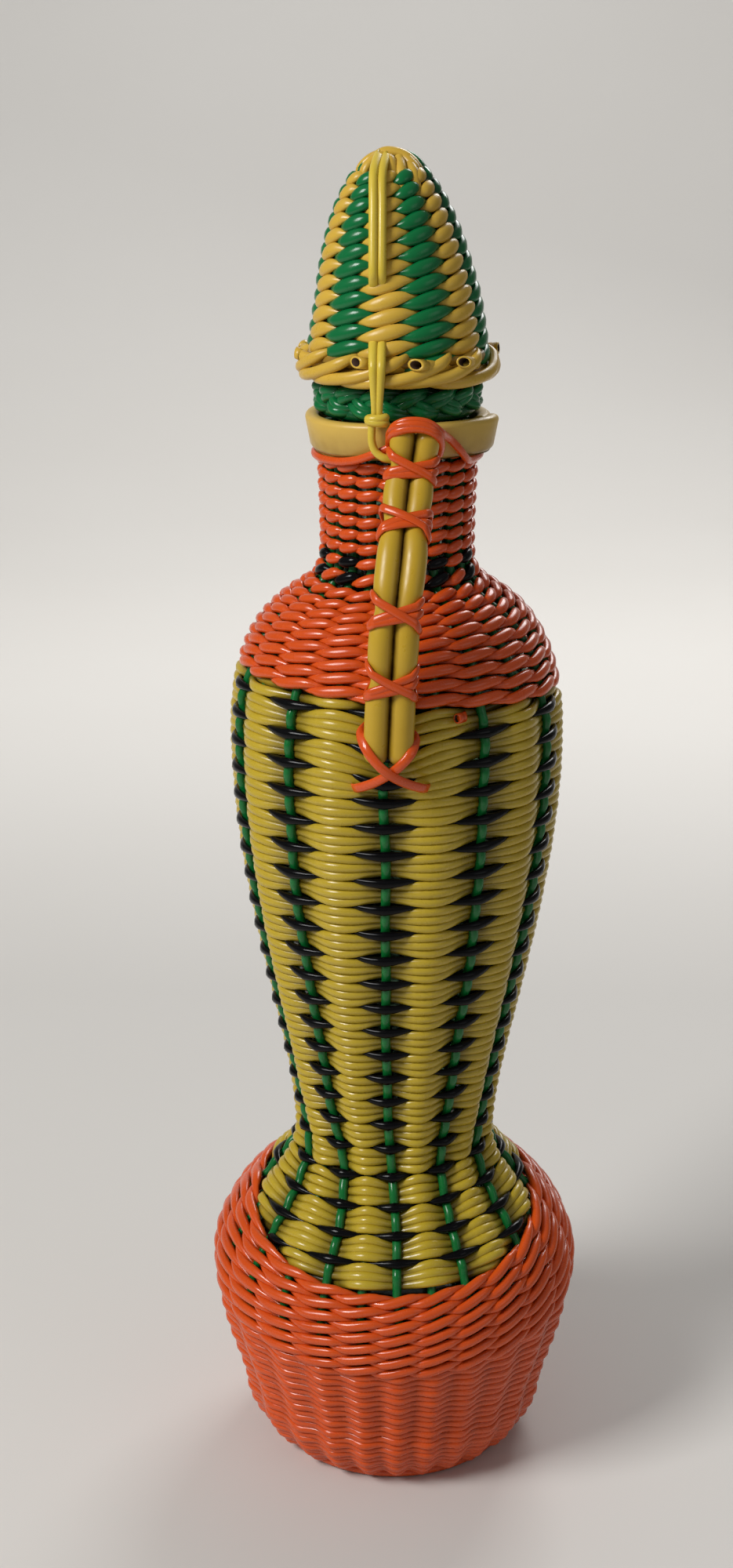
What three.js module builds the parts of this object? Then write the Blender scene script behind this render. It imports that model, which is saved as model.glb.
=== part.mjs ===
// A glass bottle covered with woven plastic craft cord, with a woven cone cap on a cork,
// a tether and a handle of two tubes. Millimetres, +Z up, origin on the table under the
// bottle's axis. Angles run round the axis from the handle side (-Y) towards +X.
import * as THREE from 'three';

// Clearances
const SEAT_GAP = 0.3; // between pieces that rest on each other
const WINDING_GAP = 0.6; // winding to glass, wider because its rows are straight across
const CROSSING_GAP = 0.4; // stake to the rows that cross it
const ROW_GAP = 0.5; // between neighbouring rows of the two windings
const SHELL_GAP = 1; // stake to the orange weave over it, which turns in longer steps
const PLUG_GAP = 0.3; // cork to the bore of the neck
const BRAID_GAP = 1.1; // plaited rim to the lip of the glass
const BINDING_GAP = 1; // wrap to the handle's tubes, whose bend it crosses in flat steps

// Glass bottle: outer radius where the wall turns, and the rise from each turn to the next
const FOOT_RADIUS = 25;
const HEEL_RADIUS = 34;
const HEEL_RISE = 12;
const BULB_RADIUS = 41;
const BULB_RISE = 33;
const WAIST_RADIUS = 19.2;
const WAIST_RISE = 38;
const BODY_RADIUS = 34.2;
const BODY_RISE = 104;
const NECK_RADIUS = 12;
const NECK_RISE = 49;
const LIP_RADIUS = 12.9;
const LIP_RISE = 35.5;
const GLASS_WALL = 2.4;
const GLASS_FLOOR = 5;
// Share of each stretch of wall that its lower and upper ends keep upright
const HEEL_TO_BULB = [0.2, 0.4];
const BULB_TO_WAIST = [0.42, 0.42];
const WAIST_TO_BODY = [0.2, 0.4];
const BODY_TO_NECK = [0.85, 0.5];
const NECK_TO_LIP = [0.3, 0.3];
const HEEL_ROUNDING = [0.4, 0.1, 0.5];

// Cords
const STAKE_PAIRS = 10; // one stake over the yellow rows and one under them in each pair
const STAKE_WIDTH = 2;
const STAKE_THICKNESS = 1.6;
const STAKE_PHASE = -4; // degrees, first stake beside the handle
const STAKE_RISE = 7; // length of wall over which a stake climbs into the windings
const YELLOW_THICKNESS = 1.8;
const BLACK_HEIGHT = 1.6;
const BLACK_THICKNESS = 1.6;
const TURNS = 22;
const ACCENT_CORD = 1.8;
const RIB_DEPTH = 1.2; // the orange weave stands out over the stakes
const CROWDING = 19; // degrees, how far the base's ribs crowd towards the handle side
const CROWDING_SHIFT = 5.5; // degrees, how far they stand round from the stakes there

// Where one kind of weave gives way to the next on the glass
const WEAVE_START_RISE = 3; // over the foot
const YELLOW_START_RISE = 7.5; // over the bulb's widest height
const YELLOW_END_RISE = 16; // over the body's widest height
const SHOULDER_END_DROP = 9; // under the neck's narrowest height
const WEAVE_END_DROP = 5.5; // under the mouth
const DISC_THICKNESS = 4.7;
const DISC_BEVEL = 3;

// Neck fittings
const COLLAR_HEIGHT = 8.4;
const COLLAR_THICKNESS = 2.7;
const COLLAR_BEVEL = 0.8;
const NECK_RING_CORD = 2.4;
const BRAID_HEIGHT = 7.6;
const BRAID_WIDTH = 6.9;

// Cap
const BRIM_OVERHANG = 1.9; // brim past the plaited rim
const BRIM_CORD = 4;
const CAP_SETBACK = 0.9; // foot of the cone inside the brim's outer edge
const CAP_HEIGHT = 46.5;
const CAP_WALL = 3;
const CAP_COLUMNS = 12;
const CAP_COLUMN_ANGLE = -8; // degrees, first column beside the handle
const CAP_RIB_DEPTH = 1.4; // the cone stands out along its columns
const CAP_LEAN = 0.9; // shares that shape the cone's side and its round top
const CAP_UPRIGHT = 0.355;
const CAP_CROWN = 0.665;
const PLUG_LENGTH = 20;
const TETHER_ANGLE = -12; // degrees
const TETHER_WIDTH = 4.2;
const TETHER_FLAT = 0.6; // share of its width that is flat
const TETHER_THICKNESS = 1.8;
const TETHER_START = 5; // distance of its upper end from the cap's axis
const KNOT_RADIUS = 2.3;

// Handle
const TUBE_DIAMETER = 5.85;
const TUBE_GAP = 0.3;
const HANDLE_TOP_DROP = 2; // under the collar's top
const HANDLE_FOOT_RISE = 6.4; // over the body's widest height
const HANDLE_BOW = 0.1; // how far the tubes stand out past their lower end
const HANDLE_TOP_SHIFT = 4.6; // sideways lean of the handle
const HANDLE_FOOT_SHIFT = -1.9;
const HANDLE_SHIFT_POWER = 0.8; // of the drop, as the handle leans most near its top
// Drop and outward reach of the handle's bend, as shares of the whole
const ARCH = [[0, 0], [0.11, 0.03], [0.22, 0.32], [0.354, 0.74], [0.553, 1], [0.8, 1]];
// Places of the wraps, as shares of the handle's drop
const TOP_LASHING_PLACE = 0.068;
const BINDING_PLACES = [0.177, 0.293, 0.501, 0.722];
const FOOT_LASHING_PLACE = 0.936;
const BINDING_WIDTH = 5;
const BINDING_THICKNESS = 1.6;

// Steps that the curved shapes are cut into
const HEEL_STEPS = 2;
const BULB_STEPS = 2;
const WAIST_STEPS = 6;
const BODY_STEPS = 4;
const NECK_STEPS = 6;
const LIP_STEPS = 1;
const GLASS_STEPS = 24;
const RING_STEPS = 24;
const CAP_STEPS = 2 * CAP_COLUMNS;
const CAP_OUTER_STEPS = 8;
const CAP_INNER_STEPS = 6;
const BASE_ROWS = 7;
const SHOULDER_ROWS = 5;
const NECK_ROWS = 3;
const ACCENT_SIDES = 5;
const RING_SIDES = 6;
const KNOT_STEPS = 5;
const KNOT_SIDES = 8;
const TETHER_STEPS = 12;
const TUBE_STEPS = 16;
const TUBE_SIDES = 8;
const HALVINGS = 40; // of a range in which a height is looked for
const TURN_SLACK = 1e-6; // share of a turn within which a turn counts as whole

const TAU = 2 * Math.PI;
const EIGHTH = TAU / 8;
const STAKES = 2 * STAKE_PAIRS;
const lerp = THREE.MathUtils.lerp;
const clamp = THREE.MathUtils.clamp;
const radians = THREE.MathUtils.degToRad;

// Heights
const FOOT_HEIGHT = DISC_THICKNESS + SEAT_GAP;
const HEEL_HEIGHT = FOOT_HEIGHT + HEEL_RISE;
const BULB_HEIGHT = HEEL_HEIGHT + BULB_RISE;
const WAIST_HEIGHT = BULB_HEIGHT + WAIST_RISE;
const BODY_HEIGHT = WAIST_HEIGHT + BODY_RISE;
const NECK_HEIGHT = BODY_HEIGHT + NECK_RISE;
const MOUTH_HEIGHT = NECK_HEIGHT + LIP_RISE;
const WEAVE_START = FOOT_HEIGHT + WEAVE_START_RISE;
const YELLOW_START = BULB_HEIGHT + YELLOW_START_RISE;
const YELLOW_END = BODY_HEIGHT + YELLOW_END_RISE;
const SHOULDER_END = NECK_HEIGHT - SHOULDER_END_DROP;
const WEAVE_END = MOUTH_HEIGHT - WEAVE_END_DROP;

// How far from the glass each layer's middle lies
const STAKE_ON_GLASS = SEAT_GAP + STAKE_THICKNESS / 2;
const YELLOW_INSIDE = WINDING_GAP + YELLOW_THICKNESS / 2;
const BLACK_INSIDE = WINDING_GAP + BLACK_THICKNESS / 2;
const STAKE_IN_WINDING =
  WINDING_GAP + Math.max(YELLOW_THICKNESS, BLACK_THICKNESS) + CROSSING_GAP + STAKE_THICKNESS / 2;
const OVER_STAKE = STAKE_IN_WINDING + STAKE_THICKNESS / 2 + CROSSING_GAP;
const YELLOW_OUTSIDE = OVER_STAKE + YELLOW_THICKNESS / 2;
const BLACK_OUTSIDE = OVER_STAKE + BLACK_THICKNESS / 2;
const WRAP = OVER_STAKE + YELLOW_THICKNESS;
const WEAVE_INNER = STAKE_ON_GLASS + STAKE_THICKNESS / 2 + SHELL_GAP;
const WEAVE_INNER_AT_EDGE = STAKE_IN_WINDING + STAKE_THICKNESS / 2 + SHELL_GAP;

const part = new THREE.Group();

function polar(radius, height, angle) {
  return new THREE.Vector3(radius * Math.sin(angle), -radius * Math.cos(angle), height);
}

// Turns the faces of a closed geometry outwards
function outward(geometry) {
  const place = geometry.getAttribute('position');
  const index = geometry.getIndex().array;
  const corners = [new THREE.Vector3(), new THREE.Vector3(), new THREE.Vector3()];
  let volume = 0;
  for (let i = 0; i < index.length; i += 3) {
    corners.forEach((corner, k) => corner.fromBufferAttribute(place, index[i + k]));
    volume += corners[0].dot(corners[1].clone().cross(corners[2]));
  }
  if (volume < 0) {
    for (let i = 0; i < index.length; i += 3) {
      [index[i], index[i + 1]] = [index[i + 1], index[i]];
    }
  }
  return geometry;
}

// Skin over a row of like sections; a ring joins its last section to its first
function loft(sections, ring) {
  const count = sections[0].length;
  const index = [];
  sections.forEach((section, i) => {
    if (!ring && i === sections.length - 1) {
      return;
    }
    const here = i * count;
    const next = ((i + 1) % sections.length) * count;
    for (let k = 0; k < count; k += 1) {
      const j = (k + 1) % count;
      index.push(here + k, here + j, next + j, here + k, next + j, next + k);
    }
  });
  if (!ring) {
    const last = (sections.length - 1) * count;
    for (let k = 1; k < count - 1; k += 1) {
      index.push(0, k + 1, k, last, last + k, last + k + 1);
    }
  }
  const geometry = new THREE.BufferGeometry();
  const points = sections.flat().flatMap((point) => point.toArray());
  geometry.setAttribute('position', new THREE.Float32BufferAttribute(points, 3));
  geometry.setIndex(index);
  return outward(geometry);
}

// Solid of revolution whose profile, [radius, height] pairs, starts and ends on the axis
function turned(profile, steps) {
  const points = profile.map(([radius, height]) => new THREE.Vector2(radius, height));
  return outward(new THREE.LatheGeometry(points, steps).rotateX(Math.PI / 2));
}

// Ring of revolution whose profile closes on itself
function turnedRing(profile, steps) {
  const sections = [];
  for (let i = 0; i < steps; i += 1) {
    const angle = (TAU * i) / steps;
    sections.push(profile.map(([radius, height]) => polar(radius, height, angle)));
  }
  return loft(sections, true);
}

function ellipseProfile(radius, height, halfWidth, halfHeight, sides) {
  const profile = [];
  for (let k = 0; k < sides; k += 1) {
    const turn = (TAU * (k + 0.5)) / sides;
    profile.push([radius + halfWidth * Math.cos(turn), height + halfHeight * Math.sin(turn)]);
  }
  return profile;
}

function add(name, geometry, colour, roughness) {
  const material = new THREE.MeshStandardMaterial({ color: colour, roughness, metalness: 0 });
  const mesh = new THREE.Mesh(geometry, material);
  mesh.name = name;
  part.add(mesh);
}

const COLOURS = {
  glass: 0x9fb8a8,
  cork: 0xb58a5a,
  orange: 0xe2562b,
  yellow: 0xd8c250,
  cream: 0xddbe6a,
  green: 0x0f7a34,
  black: 0x141214,
};
const CORD_ROUGHNESS = 0.35;
const GLASS_ROUGHNESS = 0.1;
const CORK_ROUGHNESS = 0.9;

// The glass wall as a chain of straight steps, so that every layer over it runs parallel to it
function wallCurve(from, to, [leaveBy, arriveBy], steps) {
  const rise = to[1] - from[1];
  return new THREE.CubicBezierCurve(
    new THREE.Vector2(from[0], from[1]),
    new THREE.Vector2(from[0], from[1] + leaveBy * rise),
    new THREE.Vector2(to[0], to[1] - arriveBy * rise),
    new THREE.Vector2(to[0], to[1]),
  ).getPoints(steps);
}

function heelCurve(steps) {
  const [flat, lean, upright] = HEEL_ROUNDING;
  const out = HEEL_RADIUS - FOOT_RADIUS;
  const up = HEEL_HEIGHT - FOOT_HEIGHT;
  return new THREE.CubicBezierCurve(
    new THREE.Vector2(FOOT_RADIUS, FOOT_HEIGHT),
    new THREE.Vector2(FOOT_RADIUS + flat * out, FOOT_HEIGHT),
    new THREE.Vector2(HEEL_RADIUS - lean * out, HEEL_HEIGHT - upright * up),
    new THREE.Vector2(HEEL_RADIUS, HEEL_HEIGHT),
  ).getPoints(steps);
}

const heel = [HEEL_RADIUS, HEEL_HEIGHT];
const bulb = [BULB_RADIUS, BULB_HEIGHT];
const waist = [WAIST_RADIUS, WAIST_HEIGHT];
const body = [BODY_RADIUS, BODY_HEIGHT];
const neck = [NECK_RADIUS, NECK_HEIGHT];
const lip = [LIP_RADIUS, MOUTH_HEIGHT];
const wall = [
  ...heelCurve(HEEL_STEPS),
  ...wallCurve(heel, bulb, HEEL_TO_BULB, BULB_STEPS).slice(1),
  ...wallCurve(bulb, waist, BULB_TO_WAIST, WAIST_STEPS).slice(1),
  ...wallCurve(waist, body, WAIST_TO_BODY, BODY_STEPS).slice(1),
  ...wallCurve(body, neck, BODY_TO_NECK, NECK_STEPS).slice(1),
  ...wallCurve(neck, lip, NECK_TO_LIP, LIP_STEPS).slice(1),
];

// Sideways step at each point of the wall that moves both its neighbours' steps outwards by 1 mm
const wallSteps = wall.slice(1).map((point, i) => point.clone().sub(wall[i]));
const wallNormals = wallSteps.map((step) => new THREE.Vector2(step.y, -step.x).normalize());
const wallOutward = wall.map((point, i) => {
  const before = wallNormals[Math.max(i - 1, 0)];
  const after = wallNormals[Math.min(i, wallNormals.length - 1)];
  return before.clone().add(after).divideScalar(1 + before.dot(after));
});
const wallLength = [0];
wallSteps.forEach((step, i) => wallLength.push(wallLength[i] + step.length()));

// Radius and height at a distance along the wall and a distance out from it
function overWall(along, out) {
  let i = 0;
  while (i < wallSteps.length - 1 && wallLength[i + 1] < along) {
    i += 1;
  }
  const share = (along - wallLength[i]) / wallSteps[i].length();
  const low = wall[i].clone().addScaledVector(wallOutward[i], out);
  const high = wall[i + 1].clone().addScaledVector(wallOutward[i + 1], out);
  return low.lerp(high, share);
}

function alongWall(height) {
  let i = 0;
  while (i < wallSteps.length - 1 && wall[i + 1].y < height) {
    i += 1;
  }
  return wallLength[i] + (wallSteps[i].length() * (height - wall[i].y)) / wallSteps[i].y;
}

function onWeave(along, out, angle) {
  const { x, y } = overWall(along, out);
  return polar(x, y, angle);
}

// Radius of the weave's outer face at a height over the table
function weaveRadiusAt(height) {
  let low = 0;
  let high = wallLength.at(-1);
  for (let i = 0; i < HALVINGS; i += 1) {
    const middle = (low + high) / 2;
    if (overWall(middle, WRAP).y < height) {
      low = middle;
    } else {
      high = middle;
    }
  }
  return overWall(low, WRAP).x;
}

function stationsBetween(from, to) {
  const inside = wallLength.filter((along) => along > from + SEAT_GAP && along < to - SEAT_GAP);
  return [from, ...inside, to];
}

// Glass bottle
function glassBottle() {
  const bore = wall.slice(2).map((point, i) => {
    const inner = point.clone().addScaledVector(wallOutward[i + 2], -GLASS_WALL);
    return [inner.x, inner.y];
  });
  const floor = FOOT_HEIGHT + GLASS_FLOOR;
  const inside = bore.filter(([, height], i) => (
    i % 2 === 0 && height > floor + GLASS_WALL && height < MOUTH_HEIGHT - GLASS_WALL
  ));
  const floorRadius = inside[0][0] - GLASS_WALL;
  const profile = [
    [0, FOOT_HEIGHT],
    ...wall.map((point) => [point.x, point.y]),
    [LIP_RADIUS - GLASS_WALL, MOUTH_HEIGHT],
    ...inside.reverse(),
    [floorRadius, floor],
    [0, floor],
  ];
  return turned(profile, GLASS_STEPS);
}
add('glass_bottle', glassBottle(), COLOURS.glass, GLASS_ROUGHNESS);

// The two windings climb the wall together from the base weave to the shoulder weave
const windingStart = alongWall(YELLOW_START);
const pitch = (alongWall(YELLOW_END) - windingStart) / (TURNS + 0.5);
const yellowHeight = pitch - BLACK_HEIGHT - 2 * ROW_GAP;
const firstAngle = radians(STAKE_PHASE) - Math.PI;
const stakeStep = TAU / STAKES;

function climb(angle) {
  const turns = (angle - firstAngle) / TAU;
  return (turns - Math.floor(turns + TURN_SLACK)) * pitch;
}

// A band that goes inside every second stake and outside the ones between
function winding(middle, height, thickness, inside, outside, insideFirst, triangular) {
  const sections = [];
  for (let i = 0; i < TURNS * STAKES; i += 1) {
    const angle = firstAngle + i * stakeStep;
    const along = middle + (pitch * i) / STAKES;
    const out = i % 2 === insideFirst ? inside : outside;
    const inner = out - thickness / 2;
    const outer = out + thickness / 2;
    const low = along - height / 2;
    const high = along + height / 2;
    const outerEdge = triangular ? [[along, outer]] : [[high, outer], [low, outer]];
    const corners = [[low, inner], [high, inner], ...outerEdge];
    sections.push(corners.map(([reach, level]) => onWeave(reach, level, angle)));
  }
  return sections;
}

function leastGapToItself(sections) {
  let least = Infinity;
  for (let i = 0; i + STAKES < sections.length; i += 1) {
    for (const lower of sections[i]) {
      for (const upper of sections[i + STAKES]) {
        least = Math.min(least, lower.distanceTo(upper));
      }
    }
  }
  return least;
}

const yellowMiddle = windingStart + ROW_GAP + yellowHeight / 2;
const blackMiddle = yellowMiddle + pitch / 2;
const yellow = winding(
  yellowMiddle, yellowHeight, YELLOW_THICKNESS, YELLOW_INSIDE, YELLOW_OUTSIDE, 0, false,
);
const black = winding(
  blackMiddle, BLACK_HEIGHT, BLACK_THICKNESS, BLACK_INSIDE, BLACK_OUTSIDE, 1, true,
);
add('yellow_winding', loft(yellow, false), COLOURS.yellow, CORD_ROUGHNESS);
add('black_winding', loft(black, false), COLOURS.black, CORD_ROUGHNESS);
console.log(`yellow winding, least gap between turns: ${leastGapToItself(yellow).toFixed(2)} mm`);
console.log(`black winding, least gap between turns: ${leastGapToItself(black).toFixed(2)} mm`);

// Weave edges follow the first and the last row of the windings
const lowerEdge = (angle) => windingStart + climb(angle) - SEAT_GAP;
const upperEdge = (angle) => windingStart + pitch * TURNS + climb(angle) + ROW_GAP + SEAT_GAP;

// Stakes lie on the glass under the orange weaves and midway through the windings
function stake(angle) {
  const start = alongWall(WEAVE_START);
  const end = alongWall(WEAVE_END - SEAT_GAP);
  const rises = [lowerEdge(angle) - STAKE_RISE, lowerEdge(angle)];
  const falls = [upperEdge(angle), upperEdge(angle) + STAKE_RISE];
  const bends = [start, ...rises, ...falls, end];
  const stations = bends.slice(1).flatMap((to, i) => stationsBetween(bends[i], to).slice(i ? 1 : 0));
  return loft(stations.map((along) => {
    const rise = clamp((along - rises[0]) / STAKE_RISE, 0, 1);
    const fall = clamp((along - falls[0]) / STAKE_RISE, 0, 1);
    const out = STAKE_ON_GLASS + (STAKE_IN_WINDING - STAKE_ON_GLASS) * (rise - fall);
    const half = STAKE_THICKNESS / 2;
    const inner = onWeave(along, out - half, angle);
    const outer = onWeave(along, out + half, angle);
    const middle = onWeave(along, out, angle);
    const aside = polar(STAKE_WIDTH / 2, 0, angle + Math.PI / 2);
    return [inner, middle.clone().add(aside), outer, middle.clone().sub(aside)];
  }), false);
}
for (let i = 0; i < STAKES; i += 1) {
  const kind = i % 2 === 0 ? 'stake_over' : 'stake_under';
  const number = String(Math.floor(i / 2) + 1).padStart(2, '0');
  add(`${kind}_${number}`, stake(firstAngle + i * stakeStep), COLOURS.green, CORD_ROUGHNESS);
}

// Orange weaves: ribbed shells over the stakes, hollowed where the stakes rise to meet the
// windings
function weave(from, to, opensDown, opensUp, rows, ribAngle) {
  const sections = [];
  for (let i = 0; i < 2 * STAKES; i += 1) {
    const angle = ribAngle(firstAngle + (i * stakeStep) / 2);
    const low = from(angle);
    const high = to(angle);
    const rib = i % 2 === 0 ? 0 : RIB_DEPTH;
    const inner = [];
    const outer = [];
    for (let row = 0; row <= rows; row += 1) {
      const along = lerp(low, high, row / rows);
      const fromLow = opensDown ? along - low : STAKE_RISE;
      const fromHigh = opensUp ? high - along : STAKE_RISE;
      const nearness = clamp(1 - Math.min(fromLow, fromHigh) / STAKE_RISE, 0, 1);
      const level = lerp(WEAVE_INNER, WEAVE_INNER_AT_EDGE, nearness);
      outer.push(onWeave(along, WRAP - rib * (1 - nearness), angle));
      inner.push(onWeave(along, level, angle));
    }
    sections.push([...outer, ...inner.reverse()]);
  }
  return loft(sections, true);
}
const weaveStart = () => alongWall(WEAVE_START);
const shoulderEnd = () => alongWall(SHOULDER_END);
const neckStart = () => alongWall(SHOULDER_END) + SEAT_GAP;
const neckEnd = () => alongWall(WEAVE_END);
const overStakes = (angle) => angle;
function crowded(angle) {
  const turn = angle - firstAngle;
  const shift = (CROWDING_SHIFT * (1 - Math.cos(turn))) / 2;
  return angle + radians(shift + CROWDING * Math.sin(turn));
}
const baseWeave = weave(weaveStart, lowerEdge, false, true, BASE_ROWS, crowded);
const shoulderWeave = weave(upperEdge, shoulderEnd, true, false, SHOULDER_ROWS, overStakes);
const neckWeave = weave(neckStart, neckEnd, false, false, NECK_ROWS, overStakes);
add('base_weave', baseWeave, COLOURS.orange, CORD_ROUGHNESS);
add('shoulder_weave', shoulderWeave, COLOURS.orange, CORD_ROUGHNESS);
add('neck_weave', neckWeave, COLOURS.orange, CORD_ROUGHNESS);

// Black cord in the corner between shoulder and neck
const cornerSeat = WRAP + SEAT_GAP + ACCENT_CORD / 2;
const corner = overWall(alongWall(SHOULDER_END), cornerSeat);
const accentHalf = ACCENT_CORD / 2;
const accentProfile = ellipseProfile(corner.x, corner.y, accentHalf, accentHalf, ACCENT_SIDES);
add('neck_accent', turnedRing(accentProfile, RING_STEPS), COLOURS.black, CORD_ROUGHNESS);

// Woven underside
function baseDisc() {
  const rim = overWall(weaveStart(), WRAP);
  const seat = overWall(weaveStart(), WEAVE_INNER);
  const rimRadius = rim.x - 2 * SEAT_GAP;
  return turned([
    [0, 0],
    [rimRadius - DISC_BEVEL, 0],
    [rimRadius, rim.y - 2 * SEAT_GAP],
    [seat.x - 2 * SEAT_GAP, DISC_THICKNESS],
    [0, DISC_THICKNESS],
  ], GLASS_STEPS);
}
add('base_disc', baseDisc(), COLOURS.orange, CORD_ROUGHNESS);

// Collar, cord under it and plaited rim over it
const collarTop = WEAVE_END;
const collarFoot = collarTop - COLLAR_HEIGHT;
const collarBore = weaveRadiusAt(collarTop) + SEAT_GAP;
const collarRadius = collarBore + COLLAR_THICKNESS;
add('collar_band', turnedRing([
  [collarBore, collarFoot],
  [collarRadius - COLLAR_BEVEL, collarFoot],
  [collarRadius, collarFoot + COLLAR_BEVEL],
  [collarRadius, collarTop - COLLAR_BEVEL],
  [collarRadius - COLLAR_BEVEL, collarTop],
  [collarBore, collarTop],
], RING_STEPS), COLOURS.cream, CORD_ROUGHNESS);

const ringHeight = collarFoot - SEAT_GAP - NECK_RING_CORD / 2;
const ringRadius = weaveRadiusAt(ringHeight) + SEAT_GAP + NECK_RING_CORD / 2;
const ringHalf = NECK_RING_CORD / 2;
const ringProfile = ellipseProfile(ringRadius, ringHeight, ringHalf, ringHalf, RING_SIDES);
add('neck_ring', turnedRing(ringProfile, RING_STEPS), COLOURS.orange, CORD_ROUGHNESS);

const braidFoot = WEAVE_END + SEAT_GAP;
const braidTop = braidFoot + BRAID_HEIGHT;
const braidBulge = BRAID_HEIGHT / 4;
const braidBore = LIP_RADIUS + BRAID_GAP;
const braidRadius = braidBore + BRAID_WIDTH;
add('rim_braid', turnedRing([
  [braidBore, braidFoot],
  [braidRadius - braidBulge, braidFoot],
  [braidRadius, braidFoot + braidBulge],
  [braidRadius, braidTop - braidBulge],
  [braidRadius - braidBulge, braidTop],
  [braidBore, braidTop],
], RING_STEPS), COLOURS.green, CORD_ROUGHNESS);

// Cap: rolled brim, woven cone and the cork that fills it and plugs the mouth
const brimHeight = braidTop + SEAT_GAP + BRIM_CORD / 2;
const brimRadius = braidRadius + BRIM_OVERHANG;
const brimMiddle = brimRadius - BRIM_CORD / 2;
const brimProfile = ellipseProfile(brimMiddle, brimHeight, BRIM_CORD / 2, BRIM_CORD / 2, RING_SIDES);
add('cap_brim', turnedRing(brimProfile, RING_STEPS), COLOURS.cream, CORD_ROUGHNESS);

const capFoot = brimHeight + BRIM_CORD / 2 + SEAT_GAP;
const capRadius = brimRadius - CAP_SETBACK;
function capProfile(inset, steps) {
  const radius = capRadius - inset;
  const height = CAP_HEIGHT - inset;
  return new THREE.CubicBezierCurve(
    new THREE.Vector2(radius, capFoot),
    new THREE.Vector2(CAP_LEAN * radius, capFoot + CAP_UPRIGHT * height),
    new THREE.Vector2(CAP_CROWN * radius, capFoot + height),
    new THREE.Vector2(0, capFoot + height),
  ).getPoints(steps).map((point) => [point.x, point.y]);
}
function capWeave() {
  const outside = capProfile(0, CAP_OUTER_STEPS).reverse();
  const inside = capProfile(CAP_WALL, CAP_INNER_STEPS);
  const geometry = turned([...outside, ...inside], CAP_STEPS);
  const place = geometry.getAttribute('position');
  const count = outside.length + inside.length;
  for (let step = 1; step < CAP_STEPS; step += 2) {
    for (let k = 1; k < outside.length; k += 1) {
      const corner = step * count + k;
      const inset = 1 - Math.min(CAP_RIB_DEPTH / outside[k][0], 1);
      place.setXY(corner, place.getX(corner) * inset, place.getY(corner) * inset);
    }
  }
  return geometry.rotateZ(radians(CAP_COLUMN_ANGLE));
}
add('cap_weave', capWeave(), COLOURS.cream, CORD_ROUGHNESS);

const boreRadius = NECK_RADIUS - GLASS_WALL;
const mouthRadius = LIP_RADIUS - GLASS_WALL;
const headSeat = MOUTH_HEIGHT + SEAT_GAP;
const headRadius = braidBore - 2 * SEAT_GAP;
const coreRadius = Math.min(capRadius - CAP_WALL, brimRadius - BRIM_CORD) - 2 * SEAT_GAP;
const coreInset = capRadius - coreRadius;
add('cork_stopper', turned([
  [0, MOUTH_HEIGHT - PLUG_LENGTH],
  [boreRadius - PLUG_GAP, MOUTH_HEIGHT - PLUG_LENGTH],
  [mouthRadius - PLUG_GAP - SEAT_GAP, headSeat],
  [headRadius, headSeat],
  [headRadius, braidTop + SEAT_GAP],
  [coreRadius, braidTop + SEAT_GAP],
  ...capProfile(coreInset, CAP_INNER_STEPS),
], CAP_STEPS), COLOURS.cork, CORK_ROUGHNESS);

// Knot on the collar and the two-strand tether from it to the top of the cap
const tetherAngle = radians(TETHER_ANGLE);
const knotDistance = collarRadius + SEAT_GAP + KNOT_RADIUS;
const knotHeight = collarTop - KNOT_RADIUS / 2;
function knot() {
  const profile = [];
  for (let i = 0; i <= KNOT_STEPS; i += 1) {
    const turn = (Math.PI * i) / KNOT_STEPS;
    profile.push([KNOT_RADIUS * Math.sin(turn), -KNOT_RADIUS * Math.cos(turn)]);
  }
  profile[0][0] = 0;
  profile[KNOT_STEPS][0] = 0;
  const place = polar(knotDistance, knotHeight, tetherAngle);
  return turned(profile, KNOT_SIDES).translate(place.x, place.y, place.z);
}
add('tether_knot', knot(), COLOURS.yellow, CORD_ROUGHNESS);

function tether() {
  const stand = SEAT_GAP + TETHER_THICKNESS / 2;
  const route = capProfile(-stand, TETHER_STEPS).filter(([radius]) => radius > TETHER_START).reverse();
  route.pop();
  route.push([brimRadius + stand, brimHeight]);
  route.push([knotDistance - TETHER_THICKNESS / 2, knotHeight + KNOT_RADIUS + SEAT_GAP]);
  const across = polar(TETHER_WIDTH / 2, 0, tetherAngle + Math.PI / 2);
  return loft(route.map(([radius, height], i) => {
    const before = route[Math.max(i - 1, 0)];
    const after = route[Math.min(i + 1, route.length - 1)];
    const run = new THREE.Vector2(after[0] - before[0], after[1] - before[1]).normalize();
    const out = polar(-run.y, run.x, tetherAngle).multiplyScalar(TETHER_THICKNESS / 2);
    const middle = polar(radius, height, tetherAngle);
    const side = across.clone().multiplyScalar(TETHER_FLAT);
    return [
      middle.clone().add(across),
      middle.clone().add(side).add(out),
      middle.clone().sub(side).add(out),
      middle.clone().sub(across),
      middle.clone().sub(side).sub(out),
      middle.clone().add(side).sub(out),
    ];
  }), false);
}
add('cap_tether', tether(), COLOURS.yellow, CORD_ROUGHNESS);

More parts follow.
